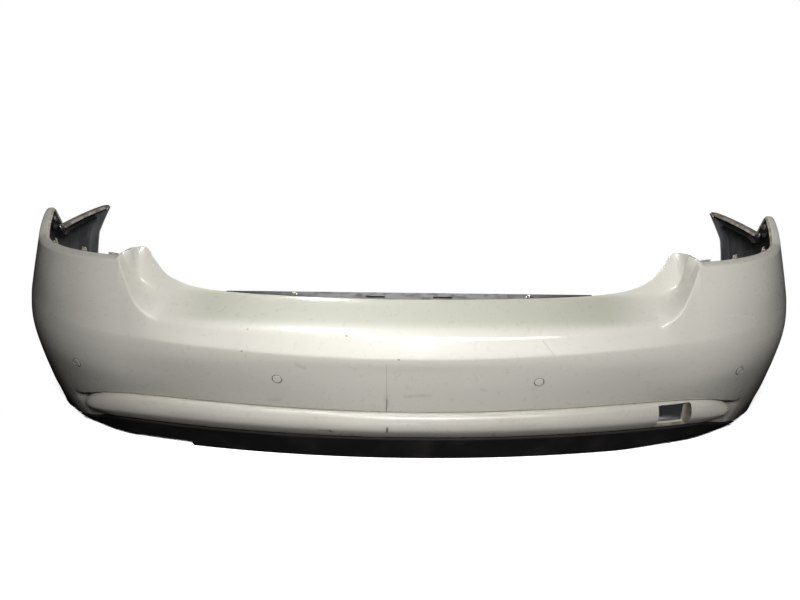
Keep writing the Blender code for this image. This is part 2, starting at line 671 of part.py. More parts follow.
def side_bolt_frame(side, girth, height):
    """On the guide's inner face, with +Z pointing into the car."""
    x, y, turn = plan_point(girth, side_guide_inset(girth) + SIDE_WALL + 0.0004)
    inward = Vector((-side * math.sin(turn), math.cos(turn), 0.0))
    across = inward.cross(Vector((0, 0, 1))).normalized()
    frame = Matrix((across, inward.cross(across), inward)).transposed().to_4x4()
    frame.translation = Vector((side * x, y, height))
    return frame


def build_side_bolts(label, side, parts):
    """Hex-flange bolts that stay in the side guide when the cover comes off."""
    for place, (girth, height) in SIDE_BOLTS.items():
        name = f"side_bolt_{label}_{place}"
        bm = bmesh.new()
        bmesh.ops.create_cone(bm, cap_ends=True, segments=6, radius1=0.0058, radius2=0.0058,
                              depth=0.0050, matrix=Matrix.Translation((0, 0, 0.0040)))
        bolt = add_object(name, mesh_from_bmesh(name, bm), zinc_steel(), parts)
        bolt.matrix_world = side_bolt_frame(side, girth, height)
        bm = bmesh.new()
        bmesh.ops.create_cone(bm, cap_ends=True, segments=20, radius1=0.0082, radius2=0.0074,
                              depth=0.0016, matrix=Matrix.Translation((0, 0, 0.0008 + FIT)))
        washer = cutter(f"{name}_flange", bm, bolt.matrix_world, bpy.data.collections["cutters"])
        boolean(bolt, washer, "UNION")
        bm = bmesh.new()
        bmesh.ops.create_cone(bm, cap_ends=True, segments=16, radius1=0.0028, radius2=0.0028,
                              depth=0.011, matrix=Matrix.Translation((0, 0, -0.0045)))
        shank = cutter(f"{name}_shank", bm, bolt.matrix_world, bpy.data.collections["cutters"])
        boolean(bolt, shank, "UNION")


def build_sensor(label, girth, height, parts):
    """Ultrasonic sensor: painted face, barrel behind it and a connector box at the back."""
    frame = face_frame(girth, height, face_inset(girth, height))
    face, barrel = SENSOR_FACE / 2, SENSOR_BARREL / 2
    profile = [(0.0, 0.0004), (face - 0.0012, 0.0004), (face - 0.0004, 0.0001), (face, -0.0007),
               (face, -0.0055), (barrel, -0.0060), (barrel, -SENSOR_DEPTH), (0.0, -SENSOR_DEPTH)]
    sensor = turned_object(f"park_sensor_{label}", profile, TURN_STEPS, white_paint(), parts)
    sensor.matrix_world = frame
    bm = bmesh.new()
    box_bmesh(bm, (-0.0075, -0.0070, -SENSOR_DEPTH - 0.004), (0.0075, 0.0230, -SENSOR_DEPTH + 0.009))
    boolean(sensor, cutter(f"connector_{label}", bm, frame, bpy.data.collections["cutters"]), "UNION")
    bm = bmesh.new()
    box_bmesh(bm, (-0.0058, 0.0130, -SENSOR_DEPTH - 0.002), (0.0058, 0.0300, -SENSOR_DEPTH + 0.007))
    boolean(sensor, cutter(f"socket_{label}", bm, frame, bpy.data.collections["cutters"]))

    inner, outer = face + FIT, SENSOR_RING / 2
    profile = [(inner, -0.0003), (outer, -0.0003), (outer, -0.0040), (inner, -0.0040), (inner, -0.0003)]
    ring = turned_object(f"sensor_ring_{label}", profile, TURN_STEPS, black_rubber(), parts)
    ring.matrix_world = frame

    plate, top = 0.0145, -WALL - 0.0022
    profile = [(outer, top), (plate, top), (plate, top - 0.0020), (0.0118, top - 0.0024),
               (0.0118, -0.0165), (barrel + FIT, -0.0165), (barrel + FIT, -0.0074), (outer, -0.0072),
               (outer, top)]
    holder = turned_object(f"sensor_holder_{label}", profile, TURN_STEPS, black_plastic(), parts)
    holder.matrix_world = frame


def build_rivet(label, girth, parts):
    """Expanding rivet through the two flanges and its centre pin, which slides down to release."""
    frame = rivet_frame(girth)
    below = -0.0008 - WALL - FIT
    above = WALL + FIT + 0.0006
    shank, bore, head = RIVET_SHANK / 2, RIVET_BORE / 2, RIVET_HEAD / 2
    profile = [(bore, above + 0.006), (shank - 0.0007, above + 0.006), (shank, above + 0.004),
               (shank, below), (head, below), (head, below - 0.0012), (head - 0.001, below - 0.0022),
               (PIN_HEAD / 2 + 0.0008, below - 0.0022), (PIN_HEAD / 2 + 0.0005, below - 0.0008),
               (bore, below - 0.0008), (bore, above + 0.006)]
    rivet = turned_object(f"rivet_body_{label}", profile, 14, black_plastic(), parts)
    rivet.matrix_world = frame
    pin_head, pin = PIN_HEAD / 2, PIN_SHANK / 2
    base = below - 0.0011
    profile = [(0.0, above + 0.0045), (pin - 0.0008, above + 0.0045), (pin, above + 0.0032), (pin, base),
               (pin_head, base), (pin_head, base - 0.0009), (pin_head - 0.001, base - 0.0016),
               (0.0, base - 0.0016)]
    plunger = turned_object(f"rivet_pin_{label}", profile, 14, grey_plastic(), parts)
    plunger.matrix_world = frame


def main():
    clear_scene()
    parts = make_collection("rear_bumper_cover")
    cutters = make_collection("cutters")
    build_skin(parts, cutters)
    build_strip(parts, cutters)
    build_valance(parts, cutters)
    build_centre_guide(parts, cutters)
    build_guide_screws(parts)
    for label, side in (("left", -1), ("right", 1)):
        build_side_guide(label, side, parts, cutters)
        build_side_bolts(label, side, parts)
    for label, (girth, height) in SENSORS.items():
        build_sensor(label, girth, height, parts)
    for label, girth in RIVETS.items():
        build_rivet(label, girth, parts)


main()
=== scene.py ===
"""Looks of a used white rear bumper cover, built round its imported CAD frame.

The painted skin, the trim strip and the valance are made again as fine closed shells from the same
station tables as the CAD, with rounded creases and edges. Everything else keeps its CAD shape.
All lengths are metres: the rear face looks along -Y, +Z is up, +X is the right side.
"""
import math
import bmesh
import bpy
import numpy as np
from mathutils import Matrix, Vector


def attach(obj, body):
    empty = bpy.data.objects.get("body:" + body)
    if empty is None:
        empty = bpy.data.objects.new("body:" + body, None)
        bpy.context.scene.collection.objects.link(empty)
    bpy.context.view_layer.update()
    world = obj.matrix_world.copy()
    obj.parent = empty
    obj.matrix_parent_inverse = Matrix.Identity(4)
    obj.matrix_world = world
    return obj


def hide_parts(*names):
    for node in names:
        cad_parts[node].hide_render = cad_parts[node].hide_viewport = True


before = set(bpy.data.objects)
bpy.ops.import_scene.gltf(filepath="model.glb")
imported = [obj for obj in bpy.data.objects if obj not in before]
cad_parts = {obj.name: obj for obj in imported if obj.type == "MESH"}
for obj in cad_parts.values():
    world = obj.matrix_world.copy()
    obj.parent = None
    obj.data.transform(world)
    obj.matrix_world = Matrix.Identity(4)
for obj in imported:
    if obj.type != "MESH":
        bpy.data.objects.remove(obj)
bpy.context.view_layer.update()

# ---------------------------------------------------------------- driving dimensions, as in the CAD
CENTRE_RADIUS = 2.90
CENTRE_SWEEP = math.radians(11.7)
CORNER_RADIUS = 0.378
CORNER_SWEEP = math.radians(84.6)
SIDE_RADIUS = 1.00
HALF_GIRTH = 1.300
PLAN_MIDDLE = 0.3078
WALL = 0.003
CREASE_HEIGHT, CREASE_RISE, CREASE_POWER = 0.256, 0.083, 1.75
STRIP_END = 0.742
STRIP_BACK = 0.0326
VALANCE_END = 0.800
HEM_FLANGE = 0.020
ARCH_START, ARCH_RADIUS, ARCH_HEIGHT, ARCH_TOP, ARCH_FLANGE = 1.12, 0.40, 0.19, 0.40, 0.027
ARCH_CUT = 0.006                        # rounding of the corner between wing and arch flange
LAST_FLAT = 1.255                       # the mitres of the arch flange start here
SENSORS = ((-0.700, 0.194), (-0.260, 0.201), (0.260, 0.201), (0.700, 0.194))
SENSOR_HOLE = 0.0212
RIVETS = (-0.490, -0.180, 0.180, 0.490)
RIVET_HOLE = 0.0078
TOW_GIRTH, TOW_WIDTH, TOW_LOW, TOW_HIGH = 0.566, 0.076, 0.0685, 0.1245
TOW_HOLE_WIDTH, TOW_HOLE_LOW, TOW_HOLE_HIGH = 0.070, 0.0725, 0.1215
TOW_HOLE_FRONT, TOW_HOLE_BACK = 0.020, 0.060
STRIP_GAP = 0.0012                      # between the strip's top and the ledge over it
STRIP_BULGE = 0.0246                    # how far the strip's front stands before its back
STRIP_TAPER = 0.69                      # from here outwards the strip runs thin
VALANCE_GAP = 0.0008                    # between the valance and the hem flange that it hangs on
EXHAUST_GIRTH, EXHAUST_HALF, EXHAUST_DEPTH, EXHAUST_TOP = -0.545, 0.070, 0.115, 0.0165
UNDER_DROP = 0.014                      # the row under the crease lies this far below it
SEAM_START = 1.045                      # the unpainted seam flange on the wing starts here
NOTCH_START, NOTCH_END = 0.612, 1.06    # the lamp notch, whose inner edge is stained

# Each row of the skin runs from the middle of the car (station 0) to the wheel arch.
# A station gives: girth along the plan curve, inset from it and height. Where the row slides
# sideways at the horn beside the lamp, a fourth value gives that slide.
HEM = [(0.00, 0.033, 0.0625), (0.60, 0.033, 0.0635), (0.66, 0.033, 0.0580), (0.70, 0.033, 0.0480),
       (0.746, 0.033, 0.0340), (0.80, 0.029, 0.0220), (0.85, 0.029, 0.0100), (0.93, 0.0175, 0.0),
       (1.00, 0.014, 0.0), (1.300, 0.020, 0.0)]
RECESS = [(0.00, 0.033, 0.1255), (0.50, 0.033, 0.1295), (0.60, 0.033, 0.1275), (0.66, 0.033, 0.1205),
          (0.70, 0.033, 0.1095), (0.746, 0.033, 0.0930), (0.765, 0.016, 0.0820),
          (0.80, 0.011, 0.0740), (0.93, 0.004, 0.0800), (1.300, 0.006, 0.0800)]
LEDGE = [(0.00, 0.0215, 0.1270), (0.50, 0.0215, 0.1310), (0.60, 0.0205, 0.1290),
         (0.66, 0.0180, 0.1225), (0.70, 0.0150, 0.1130), (0.746, 0.0110, 0.1020),
         (0.765, 0.0080, 0.1010), (0.80, 0.0040, 0.1050), (0.93, -0.0020, 0.1150),
         (1.300, 0.0020, 0.1200)]
LOWER = [(0.00, 0.0160, 0.158), (0.42, 0.0148, 0.160), (0.62, 0.0085, 0.160), (0.70, 0.0042, 0.156),
         (0.80, -0.0050, 0.155), (0.93, -0.0095, 0.165), (1.10, -0.0070, 0.170), (1.300, 0.0, 0.170)]
MIDDLE = [(0.00, 0.0100, 0.190), (0.42, 0.0080, 0.190), (0.62, -0.0010, 0.195), (0.80, -0.0120, 0.205),
          (0.93, -0.0150, 0.215), (1.10, -0.0110, 0.220), (1.300, -0.0020, 0.220)]
BELOW = [(0.00, 0.0045, 0.2270), (0.60, -0.0040, 0.2350), (0.80, -0.0120, 0.2450),
         (0.93, -0.0148, 0.2500), (1.10, -0.0110, 0.2620), (1.300, -0.0020, 0.2850)]
ABOVE = [(0.00, 0.0100, 0.2780), (0.42, 0.0105, 0.2860), (0.50, 0.0090, 0.2910), (0.525, 0.0085, 0.2980),
         (0.547, 0.0095, 0.3080), (0.560, 0.0115, 0.3170), (0.572, 0.0145, 0.3260),
         (0.580, 0.0165, 0.3320), (0.598, 0.0190, 0.3420), (0.70, 0.0160, 0.3500),
         (0.80, 0.0100, 0.3520), (0.93, 0.0090, 0.3520), (1.02, 0.0150, 0.3800),
         (1.09, 0.0120, 0.3680), (1.300, 0.0110, 0.3700)]
SHOULDER = [(0.00, 0.0200, 0.3000), (0.30, 0.0200, 0.3025), (0.42, 0.0210, 0.3080),
            (0.50, 0.0190, 0.3110), (0.525, 0.0150, 0.3200), (0.547, 0.0190, 0.3385),
            (0.560, 0.0260, 0.3575), (0.572, 0.0345, 0.3775), (0.580, 0.0407, 0.3920),
            (0.586, 0.0455, 0.4035), (0.592, 0.0500, 0.4140), (0.598, 0.0505, 0.4140),
            (0.62, 0.0500, 0.4130), (0.70, 0.0450, 0.4125), (0.80, 0.0360, 0.4120),
            (0.88, 0.0290, 0.4120), (0.92, 0.0280, 0.4140), (0.945, 0.0300, 0.4220),
            (0.98, 0.0350, 0.4400), (1.01, 0.0400, 0.4550), (1.02, 0.0415, 0.4575),
            (1.03, 0.0410, 0.4540), (1.05, 0.0370, 0.4300), (1.07, 0.0320, 0.4060),
            (1.09, 0.0290, 0.3990), (1.12, 0.0270, 0.3985), (1.300, 0.0220, 0.4040)]
SHELF = [(0.00, 0.0520, 0.3210), (0.30, 0.0520, 0.3230), (0.42, 0.0540, 0.3275),
         (0.50, 0.0560, 0.3290), (0.525, 0.0560, 0.3345), (0.547, 0.0560, 0.3455),
         (0.560, 0.0570, 0.3595), (0.572, 0.0590, 0.3755), (0.580, 0.0610, 0.3900),
         (0.586, 0.0630, 0.4035), (0.592, 0.0650, 0.4160), (0.598, 0.0650, 0.4225),
         (0.612, 0.0560, 0.4160), (0.70, 0.0510, 0.4150), (0.80, 0.0420, 0.4145),
         (0.92, 0.0330, 0.4165), (0.98, 0.0400, 0.4425), (1.02, 0.0455, 0.4595),
         (1.05, 0.0420, 0.4320), (1.09, 0.0350, 0.4005), (1.300, 0.0290, 0.4060)]
GROOVE = [(0.00, 0.0830, 0.3375), (0.30, 0.0830, 0.3400), (0.42, 0.0840, 0.3440),
          (0.50, 0.0850, 0.3445, 0.002), (0.525, 0.0850, 0.3460, 0.006), (0.547, 0.0845, 0.3520, 0.010),
          (0.560, 0.0830, 0.3600, 0.009), (0.572, 0.0820, 0.3740, 0.004),
          (0.580, 0.0810, 0.3890, -0.001), (0.586, 0.0810, 0.4060, -0.006),
          (0.592, 0.0800, 0.4210, -0.012), (0.598, 0.0790, 0.4300, -0.016),
          (0.612, 0.0630, 0.4175), (0.70, 0.0580, 0.4165), (0.80, 0.0490, 0.4160),
          (0.92, 0.0390, 0.4180), (0.98, 0.0455, 0.4440), (1.02, 0.0500, 0.4600),
          (1.05, 0.0480, 0.4330), (1.09, 0.0420, 0.4010), (1.300, 0.0370, 0.4065)]
LIP = [(0.00, 0.0910, 0.3465), (0.30, 0.0910, 0.3485), (0.38, 0.0915, 0.3500, 0.003),
       (0.42, 0.0925, 0.3520, 0.006), (0.46, 0.0940, 0.3580, 0.010), (0.50, 0.0970, 0.3740, 0.014),
       (0.525, 0.1010, 0.3920, 0.010), (0.547, 0.1035, 0.4110, 0.002),
       (0.560, 0.1045, 0.4230, -0.005), (0.572, 0.1045, 0.4285, -0.010),
       (0.580, 0.1030, 0.4298, -0.012), (0.586, 0.1010, 0.4302, -0.012),
       (0.592, 0.0970, 0.4300, -0.012), (0.598, 0.0910, 0.4295, -0.011),
       (0.612, 0.0710, 0.4190), (0.70, 0.0660, 0.4180), (0.80, 0.0565, 0.4170),
       (0.92, 0.0455, 0.4190), (0.98, 0.0515, 0.4450), (1.02, 0.0550, 0.4600),
       (1.05, 0.0540, 0.4340), (1.09, 0.0490, 0.4010), (1.300, 0.0450, 0.4065)]
EDGE_IN = 0.0035                        # the top edge turns in and down by these
EDGE_DROP = [(0.00, 0.0130), (0.42, 0.0130), (0.50, 0.0120), (0.560, 0.0100), (0.598, 0.0080),
             (0.612, 0.0050), (1.300, 0.0050)]

UNDER = [(0.00, 0.0010), (0.60, -0.003), (0.93, -0.0085), (1.300, 0.0)]
CREASE = [(0.00, 0.0), (0.60, -0.001), (0.93, -0.005), (1.300, 0.0)]
STRIP_LOW = [(0.00, 0.0645), (0.60, 0.0655), (0.66, 0.0615), (0.70, 0.0600), (0.742, 0.0620)]
VALANCE_LOW = [(0.00, 0.0), (0.45, 0.0), (0.62, 0.011), (0.70, 0.011), (0.80, 0.006)]

# How far each row's corner is cut back when it is rounded: (station, cut) tables, in row order.
SOFT = 0.060
SKIN_CUTS = [
    [(0.0, 0.0)],
    [(0.0, 0.0030), (0.75, 0.0035), (0.80, 0.0060), (1.30, 0.0050)],
    [(0.0, 0.0028), (0.746, 0.0030), (0.80, 0.0300), (1.30, SOFT)],
    [(0.0, 0.0036), (0.730, 0.0040), (0.80, 0.0300), (1.30, SOFT)],
    [(0.0, SOFT)],
    [(0.0, SOFT)],
    [(0.0, SOFT)],
    [(0.0, SOFT)],
    [(0.0, 0.0032), (0.80, 0.0036), (1.10, 0.0060), (1.30, 0.0080)],
    [(0.0, SOFT)],
    [(0.0, 0.0150), (0.46, 0.0130), (0.53, 0.0060), (0.60, 0.0030), (1.00, 0.0030), (1.12, 0.0035),
     (1.30, 0.0035)],
    [(0.0, 0.0110), (0.50, 0.0110), (0.60, 0.0040), (1.30, 0.0040)],
    [(0.0, 0.0060), (0.50, 0.0080), (0.60, 0.0040), (1.30, 0.0040)],
    [(0.0, 0.0034), (0.50, 0.0045), (0.60, 0.0026), (1.30, 0.0026)],
    [(0.0, 0.0)],
]


# ---------------------------------------------------------------- plan curve and rows
def smooth(table, at, column=1):
    """Shape-keeping cubic through one column of a station table, at an array of stations."""
    at = np.asarray(at, float)
    xs = np.array([row[0] for row in table])
    ys = np.array([row[column] if len(row) > column else 0.0 for row in table])
    if len(xs) == 1:
        return np.full(at.shape, ys[0])
    at = np.clip(at, xs[0], xs[-1])
    k = np.clip(np.searchsorted(xs, at, side="right") - 1, 0, len(xs) - 2)
    slopes = np.diff(ys) / np.diff(xs)
    tangents = np.zeros(len(xs))
    before, after = slopes[:-1], slopes[1:]
    total = np.where(before + after == 0, 1.0, before + after)
    tangents[1:-1] = np.where(before * after > 0, 2 * before * after / total, 0.0)
    width = xs[k + 1] - xs[k]
    t = (at - xs[k]) / width
    h00 = (1 + 2 * t) * (1 - t) ** 2
    h10 = t * (1 - t) ** 2
    h01 = t * t * (3 - 2 * t)
    h11 = t * t * (t - 1)
    return h00 * ys[k] + h10 * width * tangents[k] + h01 * ys[k + 1] + h11 * width * tangents[k + 1]


def plan(girth, inset):
    """Points of the plan curve at signed girths, moved in by the insets, and outward angles."""
    girth, inset = np.broadcast_arrays(np.asarray(girth, float), np.asarray(inset, float))
    side = np.where(girth < 0, -1.0, 1.0)
    rest = np.abs(girth)
    x, y, turn = np.zeros(rest.shape), np.full(rest.shape, -PLAN_MIDDLE), np.zeros(rest.shape)
    arcs = ((CENTRE_RADIUS, CENTRE_SWEEP), (CORNER_RADIUS, CORNER_SWEEP), (SIDE_RADIUS, math.pi))
    for radius, sweep in arcs:
        step = np.minimum(rest / radius, sweep)
        x = x + radius * (np.sin(turn + step) - np.sin(turn))
        y = y + radius * (np.cos(turn) - np.cos(turn + step))
        turn = turn + step
        rest = rest - radius * step
    return side * (x - inset * np.sin(turn)), y + inset * np.cos(turn), side * turn


def skin_rows(station):
    """Slides, insets and heights of the skin's rows at an array of stations: 3 arrays (rows, stations)."""
    zero = np.zeros(station.shape)
    crease = CREASE_HEIGHT + CREASE_RISE * (station / HALF_GIRTH) ** CREASE_POWER
    hem = smooth(HEM, station), smooth(HEM, station, 2)
    rows = [(zero, hem[0] + HEM_FLANGE, hem[1]), (zero, hem[0], hem[1])]
    for table in (RECESS, LEDGE, LOWER, MIDDLE, BELOW):
        rows.append((zero, smooth(table, station), smooth(table, station, 2)))
    rows.append((zero, smooth(UNDER, station), crease - UNDER_DROP))
    rows.append((zero, smooth(CREASE, station), crease))
    for table in (ABOVE, SHOULDER, SHELF, GROOVE, LIP):
        rows.append((smooth(table, station, 3), smooth(table, station), smooth(table, station, 2)))
    slide, inset, height = rows[-1]
    rows.append((slide, inset + EDGE_IN, height - smooth(EDGE_DROP, station)))
    return [np.array(part) for part in zip(*rows)]


def arch_girth(station, height):
    """Fans the last stations out so that the front edge follows the round wheel arch."""
    reach = np.sqrt(ARCH_RADIUS ** 2 - (height - ARCH_HEIGHT) ** 2)
    reach_top = math.sqrt(ARCH_RADIUS ** 2 - (ARCH_TOP - ARCH_HEIGHT) ** 2)
    share = np.clip((station - ARCH_START) / (HALF_GIRTH - ARCH_START), 0.0, 1.0)
    return station - share * (reach - reach_top)


def skin_controls(station, depth):
    """Control points of the right half, (columns, rows, 3). Depth is the place on the arch flange."""
    slide, inset, height = skin_rows(station)
    count = len(inset)
    shoulder = count - 5
    mitred = np.clip((station - LAST_FLAT) / (HALF_GIRTH - LAST_FLAT), 0.0, 1.0)
    bent = inset + ARCH_FLANGE * depth
    bent[0] = np.maximum(inset[0] + 0.004 * depth, inset[1] + ARCH_FLANGE * depth + 0.003)
    slide[0] = slide[0] - (0.012 * mitred + 0.008 * depth)
    for k in range(shoulder + 1, count):
        place = k - shoulder
        slide[k] = slide[k] - place * (0.002 * mitred + 0.004 * depth)
        bent[k] = np.maximum(inset[k] + 0.004 * depth, inset[shoulder] + ARCH_FLANGE * depth + 0.001 * place)
    bent = np.where(depth > 0, bent, inset)
    x, y, _ = plan(arch_girth(station, height) + slide, bent)
    return np.stack((x, y, height), axis=-1).transpose(1, 0, 2)


# ---------------------------------------------------------------- shells
ROUND_STEPS = 5
CUT_LIMIT = 0.46                        # a corner never takes more than this share of a segment
FOLD_LIMIT = 0.62                       # keeps the inner wall's corners short where a fold is sharp


def rounded(points, cuts):
    """Rounds every inner corner of the rows: points (columns, rows, 3), cuts (columns, rows)."""
    out = [points[:, 0]]
    for k in range(1, points.shape[1] - 1):
        corner = points[:, k]
        back, on = points[:, k - 1] - corner, points[:, k + 1] - corner
        length_back = np.linalg.norm(back, axis=1, keepdims=True) + 1e-9
        length_on = np.linalg.norm(on, axis=1, keepdims=True) + 1e-9
        cut = cuts[:, k:k + 1]
        start = corner + back * np.minimum(cut / length_back, CUT_LIMIT)
        end = corner + on * np.minimum(cut / length_on, CUT_LIMIT)
        for t in np.linspace(0.0, 1.0, ROUND_STEPS):
            out.append((1 - t) ** 2 * start + 2 * t * (1 - t) * corner + t * t * end)
    out.append(points[:, -1])
    return np.stack(out, axis=1)


def unit(v):
    return v / np.maximum(np.linalg.norm(v, axis=-1, keepdims=True), 1e-9)


def inward(points, thickness):
    """The control points moved in by the wall, square to the wall on both sides of each corner."""
    along = unit(np.gradient(points, axis=0))
    up = np.diff(points, axis=1)
    wall = unit(np.cross(along[:, :-1], unit(up)))
    first = np.concatenate((wall[:, :1], wall), axis=1)
    last = np.concatenate((wall, wall[:, -1:]), axis=1)
    normal = unit(first + last)
    stretch = 1.0 / np.maximum(np.sum(normal * last, axis=-1, keepdims=True), FOLD_LIMIT)
    return points - normal * thickness * stretch


def mirrored(half):
    """A whole girth from its right half, whose first column lies in the middle."""
    left = half[1:][::-1].copy()
    left[..., 0] *= -1
    return np.concatenate((left, half), axis=0)


def shell_mesh(name, outer, inner):
    """Closed mesh of two point grids (columns, rows, 3); face indices say which grid a face is on."""
    columns, rows = outer.shape[:2]
    points = np.concatenate((outer.reshape(-1, 3), inner.reshape(-1, 3)))
    j, i = np.meshgrid(np.arange(columns - 1), np.arange(rows - 1), indexing="ij")
    a = (j * rows + i).ravel()
    front = np.stack((a, a + rows, a + rows + 1, a + 1), axis=1)
    shift = columns * rows
    back = front[:, ::-1] + shift
    ring = [j * rows for j in range(columns)] + [(columns - 1) * rows + i for i in range(1, rows)]
    ring += [j * rows + rows - 1 for j in range(columns - 2, -1, -1)] + list(range(rows - 2, 0, -1))
    ring = np.array(ring)
    after = np.roll(ring, -1)
    rim = np.stack((after, ring, ring + shift, after + shift), axis=1)
    faces = np.concatenate((front, back, rim))
    mesh = bpy.data.meshes.new(name)
    mesh.from_pydata(points.tolist(), [], faces.tolist())
    mesh.update()
    return mesh, len(front), len(back)


def new_object(name, mesh):
    obj = bpy.data.objects.new(name, mesh)
    bpy.context.scene.collection.objects.link(obj)
    return obj


def subtract(obj, tools):
    """Cuts the tools out of the object for good and removes them."""
    for tool in tools:
        cut = obj.modifiers.new("Cut", "BOOLEAN")
        cut.operation = "DIFFERENCE"
        cut.solver = "EXACT"
        cut.material_mode = "TRANSFER" if tool.data.materials else "INDEX"
        cut.object = tool
    settle(obj)
    for tool in tools:
        mesh = tool.data
        bpy.data.objects.remove(tool)
        bpy.data.meshes.remove(mesh)


def settle(obj):
    """Replaces the object's mesh by what its modifiers make."""
    graph = bpy.context.evaluated_depsgraph_get()
    done = bpy.data.meshes.new_from_object(obj.evaluated_get(graph))
    obj.modifiers.clear()
    obj.data = done


def cylinder(name, radius, depth, matrix, segments=48):
    bm = bmesh.new()
    bmesh.ops.create_cone(bm, cap_ends=True, segments=segments, radius1=radius, radius2=radius, depth=depth)
    return from_bmesh(name, bm, matrix)


def block(name, low, high, matrix, bevel=0.0, segments=3):
    """Box between two corners, its edges rounded."""
    bm = bmesh.new()
    low, high = Vector(low), Vector(high)
    place = Matrix.Translation((low + high) / 2) @ Matrix.Diagonal((*(high - low), 1.0))
    bmesh.ops.create_cube(bm, size=1.0, matrix=place)
    if bevel:
        bmesh.ops.bevel(bm, geom=bm.edges[:], offset=bevel, segments=segments, affect="EDGES", profile=0.5)
    return from_bmesh(name, bm, matrix)


def from_bmesh(name, bm, matrix=None):
    mesh = bpy.data.meshes.new(name)
    bm.to_mesh(mesh)
    bm.free()
    if matrix is not None:
        mesh.transform(matrix)
    return new_object(name, mesh)


def shade(obj, degrees=30):
    obj.data.shade_smooth()
    obj.data.set_sharp_from_angle(angle=math.radians(degrees))


FACE_ROWS = slice(2, 11)                # from the recess up to the shoulder
LEAN_STEP = 0.01                        # the face's lean is measured this far up and down


def face_inset(girth, height):
    """How far in from the plan curve the rear face lies."""
    _, insets, heights = skin_rows(np.array([abs(girth)]))
    return float(np.interp(height, heights[FACE_ROWS, 0], insets[FACE_ROWS, 0]))


def spot(girth, height, inset=None):
    """A point for a mark on the paint, on the rear face unless its inset is given."""
    x, y, _ = plan(girth, face_inset(girth, height) if inset is None else inset)
    return float(x), float(y), height


def face_frame(girth, height, inset):
    """Matrix at a point of the skin with +Z out of the face and +Y up the face."""
    x, y, turn = (float(v) for v in plan(girth, inset))
    rise = face_inset(girth, height + LEAN_STEP) - face_inset(girth, height - LEAN_STEP)
    lean = rise / (2 * LEAN_STEP)
    out = Vector((math.sin(turn), -math.cos(turn), lean)).normalized()
    across = Vector((0, 0, 1)).cross(out).normalized()
    matrix = Matrix((across, out.cross(across), out)).transposed().to_4x4()
    matrix.translation = Vector((x, y, height))
    return matrix


def upright_frame(girth, inset=0.0, height=0.0):
    """Matrix at a point of the plan curve, with +X along the curve and +Z up."""
    x, y, turn = (float(v) for v in plan(girth, inset))
    return Matrix.Translation((x, y, height)) @ Matrix.Rotation(turn, 4, "Z")


def rivet_frame(girth):
    inset, height = float(smooth(HEM, abs(girth))), float(smooth(HEM, abs(girth), 2))
    x, y, _ = (float(v) for v in plan(girth, inset + 0.6 * HEM_FLANGE))
    return Matrix.Translation((x, y, height))


def spread(*runs):
    """Stations from runs of (start, end, spacing); the last end is included."""
    out = []
    for start, end, gap in runs:
        count = max(1, round((end - start) / gap))
        out += [start + (end - start) * k / count for k in range(count)]
    return np.array(out + [runs[-1][1]])


# ---------------------------------------------------------------- the three shells
def rivet_tools():
    return [cylinder("rivet_hole_tool", RIVET_HOLE / 2, 0.012, rivet_frame(g), 24) for g in RIVETS]


def tow_hole_tool():
    low = (-TOW_HOLE_WIDTH / 2, TOW_HOLE_FRONT, TOW_HOLE_LOW)
    high = (TOW_HOLE_WIDTH / 2, TOW_HOLE_BACK, TOW_HOLE_HIGH)
    return block("tow_hole_tool", low, high, upright_frame(TOW_GIRTH))


SKIN_MATERIALS = ("paint", "bare_plastic", "raw_flange", "stained_edge")
PAINTED, BARE, RAW, STAINED = range(4)
BEND_STEPS = 6                          # columns that round the corner into the arch flange
FLANGE_DEPTHS = np.array([0.35, 0.5, 0.65, 0.8, 0.9, 1.0])


def build_skin():
    """The painted shell from wheel arch to wheel arch, with its sensor, rivet and towing-eye holes."""
    stations = spread((0.0, 0.46, 0.010), (0.46, 0.545, 0.005), (0.545, 0.620, 0.0025),
                      (0.620, 0.70, 0.006), (0.70, 0.80, 0.004), (0.80, 0.96, 0.008),
                      (0.96, 1.10, 0.004), (1.10, 1.29, 0.009))
    flat = skin_controls(stations, np.zeros(len(stations)))
    corner_in = skin_controls(np.array([HALF_GIRTH - ARCH_CUT]), np.zeros(1))
    corner = skin_controls(np.array([HALF_GIRTH]), np.zeros(1))
    corner_out = skin_controls(np.array([HALF_GIRTH]), np.array([ARCH_CUT / ARCH_FLANGE]))
    bends = [(1 - t) ** 2 * corner_in + 2 * t * (1 - t) * corner + t * t * corner_out
             for t in np.linspace(0.0, 1.0, BEND_STEPS)]
    flange = skin_controls(np.full(len(FLANGE_DEPTHS), HALF_GIRTH), FLANGE_DEPTHS)
    half = np.concatenate((flat, *bends, flange))
    girths = np.concatenate((stations, np.full(BEND_STEPS + len(FLANGE_DEPTHS), HALF_GIRTH)))
    controls = mirrored(half)
    girths = np.concatenate((girths[1:][::-1], girths))
    cuts = np.stack([smooth(table, girths) for table in SKIN_CUTS], axis=1)
    inside = inward(controls, WALL)
    inside[..., 2] = np.maximum(inside[..., 2], WALL)
    outer, inner = rounded(controls, cuts), rounded(inside, cuts)
    mesh, front, back = shell_mesh("painted_skin", outer, inner)
    mesh.polygons.foreach_set("material_index", skin_slots(len(mesh.polygons), front, back, outer, girths))

    skin = new_object("painted_skin", mesh)
    for name in SKIN_MATERIALS:
        mesh.materials.append(MATERIALS[name])
    tools = [cylinder("sensor_hole_tool", SENSOR_HOLE / 2, 0.02, face_frame(g, h, face_inset(g, h)))
             for g, h in SENSORS]
    subtract(skin, tools + rivet_tools() + [tow_hole_tool()])
    shade(skin, 40)
    return skin


